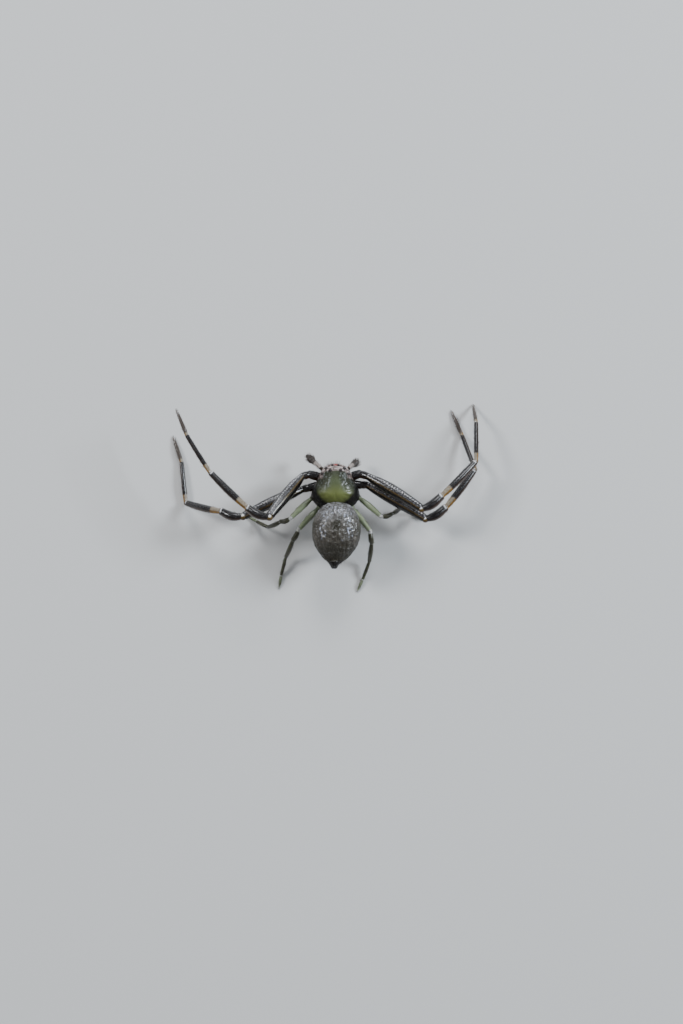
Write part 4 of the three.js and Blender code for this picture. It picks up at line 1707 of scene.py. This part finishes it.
@dataclass
class Mouth:
    """The jaws with their fangs, the palps, and the lobes below."""

    palp_places: tuple[tuple[Point, ...], ...] = (
        (
            (-0.3, 0.46, 0.76), (-0.5, 0.62, 0.92), (-0.6, 0.72, 0.84),
            (-0.7, 0.81, 0.76), (-0.92, 1.03, 0.62),
        ),
        (
            (0.3, 0.46, 0.76), (0.46, 0.62, 0.9), (0.52, 0.68, 0.8),
            (0.58, 0.73, 0.7), (0.73, 0.86, 0.46),
        ),
    )
    palp_forms: tuple[tuple[float, ...], ...] = (
        (0.9, 1, 0.95), (0.95, 1, 0.95), (0.9, 1, 1), (0.75, 1, 0.9, 0.5),
    )
    palp_radii: tuple[float, ...] = (0.065, 0.07, 0.07, 0.12)
    palp_softness: tuple[float, ...] = (0.2, 0.9, 0.95, 0.0)
    palp_darkness: tuple[float, ...] = (0.2, 0.0, 0.0, 0.75)
    palp_bristles: tuple[int, ...] = (40, 30, 50, 260)
    bristle_radius: float = 0.0032
    bulb_radii: Point = (0.075, 0.075, 0.05)
    bulb_drop: float = 0.055
    coil_radius: float = 0.062
    coil_wire: float = 0.009
    spur_radius: float = 0.016
    jaw_radius: float = 0.12
    fang_radius: float = 0.03
    lobe_middle: Point = (0.15, 0.48, 0.66)
    lobe_radii: Point = (0.088, 0.168, 0.078)
    lip_middle: Point = (0.0, 0.38, 0.66)
    lip_radii: Point = (0.098, 0.088, 0.058)
    lump_height: float = 0.003

    def jaw(self, side: Side, finish: bpy.types.Material) -> None:
        """Makes one jaw, upright below the face, with its curved fang.

        Args:
            side: Which of the two.
            finish: Its material.
        """
        sign = side.value
        radii = [share * self.jaw_radius for share in (0.85, 1, 0.95, 0.7)]
        limb = Limb((0.15 * sign, 0.5, 0.98), (0.13 * sign, 0.55, 0.56), radii, rings=50, around=36)
        base = limb.form(lambda share, turn: 1 + 0.04 * np.sin(share * 3.0) * np.cos(turn * 2))
        base.marked(soft=smoothstep(base.marks["along"], 0.75, 1.0) * 0.4)
        share = np.linspace(0, 1, 18)
        along = 0.56 - 0.02 * share + 0.03 * np.sin(share * 3)
        bend = np.stack([sign * (0.12 - 0.09 * share), along, 0.5 - 0.1 * share], axis=-1)
        fang = tube(bend, self.fang_radius * (1 - 0.85 * share), around=14).marked(claw=1.0)
        joined([base, fang]).piece(f"jaw_{side.word}", finish, Slot.MOUTH, f"chelicera_{side.word}")

    def palp(self, side: Side, finish: bpy.types.Material, coat: Coat, draw: np.random.Generator) -> None:
        """Makes one palp, with the male's swollen, hairy end and the bulb beneath it.

        Args:
            side: Which of the two.
            finish: Its material.
            coat: What its bristles are added to.
            draw: Where the random numbers come from.
        """
        joints = [np.array(place) for place in self.palp_places[0 if side is Side.LEFT else 1]]
        forms = []
        for step, (form, radius) in enumerate(zip(self.palp_forms, self.palp_radii)):
            radii = [share * radius for share in form]
            limb = Limb(joints[step], joints[step + 1], radii, rings=36, around=28, front=side.value)
            made = limb.form(lambda share, turn: 1 + 0.02 * np.cos(share * 18))
            forms.append(made.marked(soft=self.palp_softness[step], claw=self.palp_darkness[step]))
            self.palp_coat(side, limb, step, coat, draw)
        forms += self.bulb(side, joints[3], joints[4])
        joined(forms).piece(f"palp_{side.word}", finish, Slot.MOUTH, f"pedipalp_{side.word}")

    def palp_coat(self, side: Side, limb: Limb, step: int, coat: Coat, draw: np.random.Generator) -> None:
        """Adds the bristles of one segment of a palp.

        Args:
            side: Which palp.
            limb: The segment.
            step: Its number, from the root.
            coat: What the bristles are added to.
            draw: Where the random numbers come from.
        """
        count = self.palp_bristles[step]
        share, turn = draw.uniform(0.05, 1, count), draw.uniform(-math.pi, math.pi, count)
        roots, out = limb.places(share, turn, -0.003)
        ways = limb.way * 0.8 + out * draw.uniform(0.3, 0.8, (count, 1))
        lengths = draw.uniform(0.06, 0.12, count)
        bends = limb.way * 0.25 + draw.normal(scale=0.05, size=(count, 3))
        strip = (step + share) / 4 * 0.4 + (0.05 if side is Side.LEFT else 0.55)
        unwrap = np.stack([strip, 0.1 + 0.8 * (turn / math.pi + 1) / 2], axis=-1)
        coat.add(roots, ways, lengths, self.bristle_radius, bends, unwrap)

    def bulb(self, side: Side, start: Array, stop: Array) -> list[Form]:
        """Makes the bulb beneath a palp's end, with its coil and the spur beside it.

        Args:
            side: Which palp.
            start: Where the swollen end starts.
            stop: Where it stops.

        Returns:
            The three forms.
        """
        hand = Limb(start, stop, [self.bulb_drop] * 2)
        below = (start + stop) / 2 - hand.up * self.bulb_drop
        bulb = ball(below, self.bulb_radii, cells=14)
        bulb.raised(0.004 * np.cos(np.linalg.norm(bulb.points - below, axis=1) * 90))
        turn = np.linspace(0, 1.7 * math.pi, 40)
        circle = np.outer(np.cos(turn), hand.way) + np.outer(np.sin(turn), hand.side)
        coil = below + circle * self.coil_radius
        ring = tube(coil - hand.up * 0.03, self.coil_wire * (1 - 0.6 * turn / turn[-1]), around=10)
        share = np.linspace(0, 1, 8)
        lean = start + np.outer(share, hand.way * 0.05 + hand.side * side.value * 0.06)
        spur = tube(lean, self.spur_radius * (1 - 0.8 * share), around=10)
        return [bulb.marked(soft=0.35, claw=0.2), ring.marked(claw=1.0), spur.marked(claw=0.8)]

    def lobes(self, finish: bpy.types.Material) -> None:
        """Makes the lip and the two lobes beside it, seen from below.

        Args:
            finish: Their material.
        """
        for side in Side:
            lobe = ball(self.lobe_middle * np.array([side.value, 1, 1]), self.lobe_radii, cells=22)
            lobe.raised(self.lump_height * waves(lobe.points, scale=9.0, seed=31))
            lobe.marked(claw=0.2, soft=smoothstep(lobe.points[:, 1], 0.5, 0.62))
            lobe.piece(f"lobe_{side.word}", finish, Slot.MOUTH, f"endite_{side.word}")
        lip = ball(self.lip_middle, self.lip_radii, cells=20)
        lip.raised(self.lump_height * waves(lip.points, scale=9.0, seed=33))
        lip.marked(claw=0.5, soft=smoothstep(lip.points[:, 1], 0.4, 0.46))
        lip.piece("lip", finish, Slot.MOUTH, "labium")


# The stage

@dataclass(frozen=True)
class Lamp:
    """A square soft light: where it hangs and its side in millimetres, its power in watts and its colour."""

    name: str
    place: Point
    watts: float
    side: float
    colour: Colour


@dataclass
class Studio:
    """The pale floor, the soft lights and the camera over the spider's back."""

    lens: float = 105.0
    sensor: float = 36.0
    frame_height: float = 33.28
    look_at: tuple[float, float, float] = (0.2, -0.89, 1.3)
    elevation: float = 84.0
    floor_side: float = 400.0
    aim: tuple[float, float, float] = (0.0, -0.5, 1.0)
    lamps: tuple[Lamp, ...] = (
        Lamp("right_light", place=(125, 35, 85), watts=0.22, side=40, colour=(0.84, 0.92, 1.0)),
        Lamp("left_light", place=(-105, 45, 95), watts=0.115, side=36, colour=(0.95, 0.97, 1.0)),
        Lamp("front_light", place=(10, 130, 95), watts=0.1, side=55, colour=(0.95, 0.97, 1.0)),
    )
    surroundings: Colour = (0.92, 0.95, 1.0)
    glow: float = 0.24

    def floor(self) -> None:
        """Lays the floor."""
        half = self.floor_side * MM / 2
        mesh = bpy.data.meshes.new("floor")
        corners = [(-half, -half, 0), (half, -half, 0), (half, half, 0), (-half, half, 0)]
        mesh.from_pydata(corners, [], [(0, 1, 2, 3)])
        mesh.materials.append(FloorFinish().build())
        made = bpy.data.objects.new("floor", mesh)
        bpy.context.scene.collection.objects.link(made)

    def lights(self) -> None:
        """Hangs the lamps, each facing the spider, and sets the pale surroundings."""
        for lamp in self.lamps:
            light = bpy.data.lights.new(lamp.name, "AREA")
            light.energy, light.size, light.color = lamp.watts, lamp.side * MM, lamp.colour
            made = bpy.data.objects.new(lamp.name, light)
            made.location = Vector(lamp.place) * MM
            facing = Vector(self.aim) * MM - made.location
            made.rotation_euler = facing.to_track_quat("-Z", "Y").to_euler()
            bpy.context.scene.collection.objects.link(made)
        world = bpy.data.worlds.new("studio")
        world.use_nodes = True
        back = world.node_tree.nodes["Background"]
        back.inputs["Color"].default_value = (*self.surroundings, 1.0)
        back.inputs["Strength"].default_value = self.glow
        bpy.context.scene.world = world

    def camera(self) -> None:
        """Sets the camera over the spider's back, framed as the photograph is."""
        view = bpy.data.cameras.new("camera")
        view.lens, view.sensor_width = self.lens, self.sensor
        view.clip_start, view.clip_end = 1 * MM, 5.0
        made = bpy.data.objects.new("camera", view)
        away = self.frame_height * self.lens / self.sensor
        lean = math.radians(self.elevation)
        target = Vector(self.look_at) + Vector(SHIFT)
        made.location = (target + Vector((0, -math.cos(lean), math.sin(lean))) * away) * MM
        made.rotation_euler = (math.pi / 2 - lean, 0.0, 0.0)
        bpy.context.scene.collection.objects.link(made)
        bpy.context.scene.camera = made


def main() -> None:
    """Dresses the whole spider and sets the stage."""
    logging.basicConfig(level=logging.INFO, format="%(name)s %(message)s")
    draw = np.random.default_rng(DRAW_SEED)
    studio = Studio()
    studio.camera()
    studio.floor()
    studio.lights()

    body_coat, leg_coat, palp_coat = Coat(), Coat(), Coat()
    shell = Carapace()
    shell.build(CarapaceFinish().build())
    shell.lenses(LensFinish().build())
    Breastplate().build(MouthFinish("breastplate_shell").build())
    shell.bristles(body_coat, draw)

    abdomen = Abdomen()
    abdomen_finish = AbdomenFinish().build()
    abdomen.build(abdomen_finish)
    abdomen.spinnerets(abdomen_finish)
    abdomen.bristles(body_coat, draw)

    mouth = Mouth()
    mouth_finish = MouthFinish("mouth_shell").build()
    for side in Side:
        mouth.jaw(side, mouth_finish)
        mouth.palp(side, mouth_finish, palp_coat, draw)
    mouth.lobes(mouth_finish)

    leg_finishes = {Slot.DARK_LEG: DarkLegFinish().build(), Slot.PALE_LEG: PaleLegFinish().build()}
    for tile, leg in enumerate(LEGS):
        leg.build(leg_finishes[leg.pair.value.slot], leg_coat, draw, tile)

    body_coat.piece("body_bristles", HairFinish("body_hair").build(), Slot.ABDOMEN)
    leg_coat.piece("leg_bristles", HairFinish("leg_hair").build(), Slot.DARK_LEG)
    palp_coat.piece("palp_bristles", HairFinish("palp_hair").build(), Slot.MOUTH)


if __name__ == "__main__":
    main()
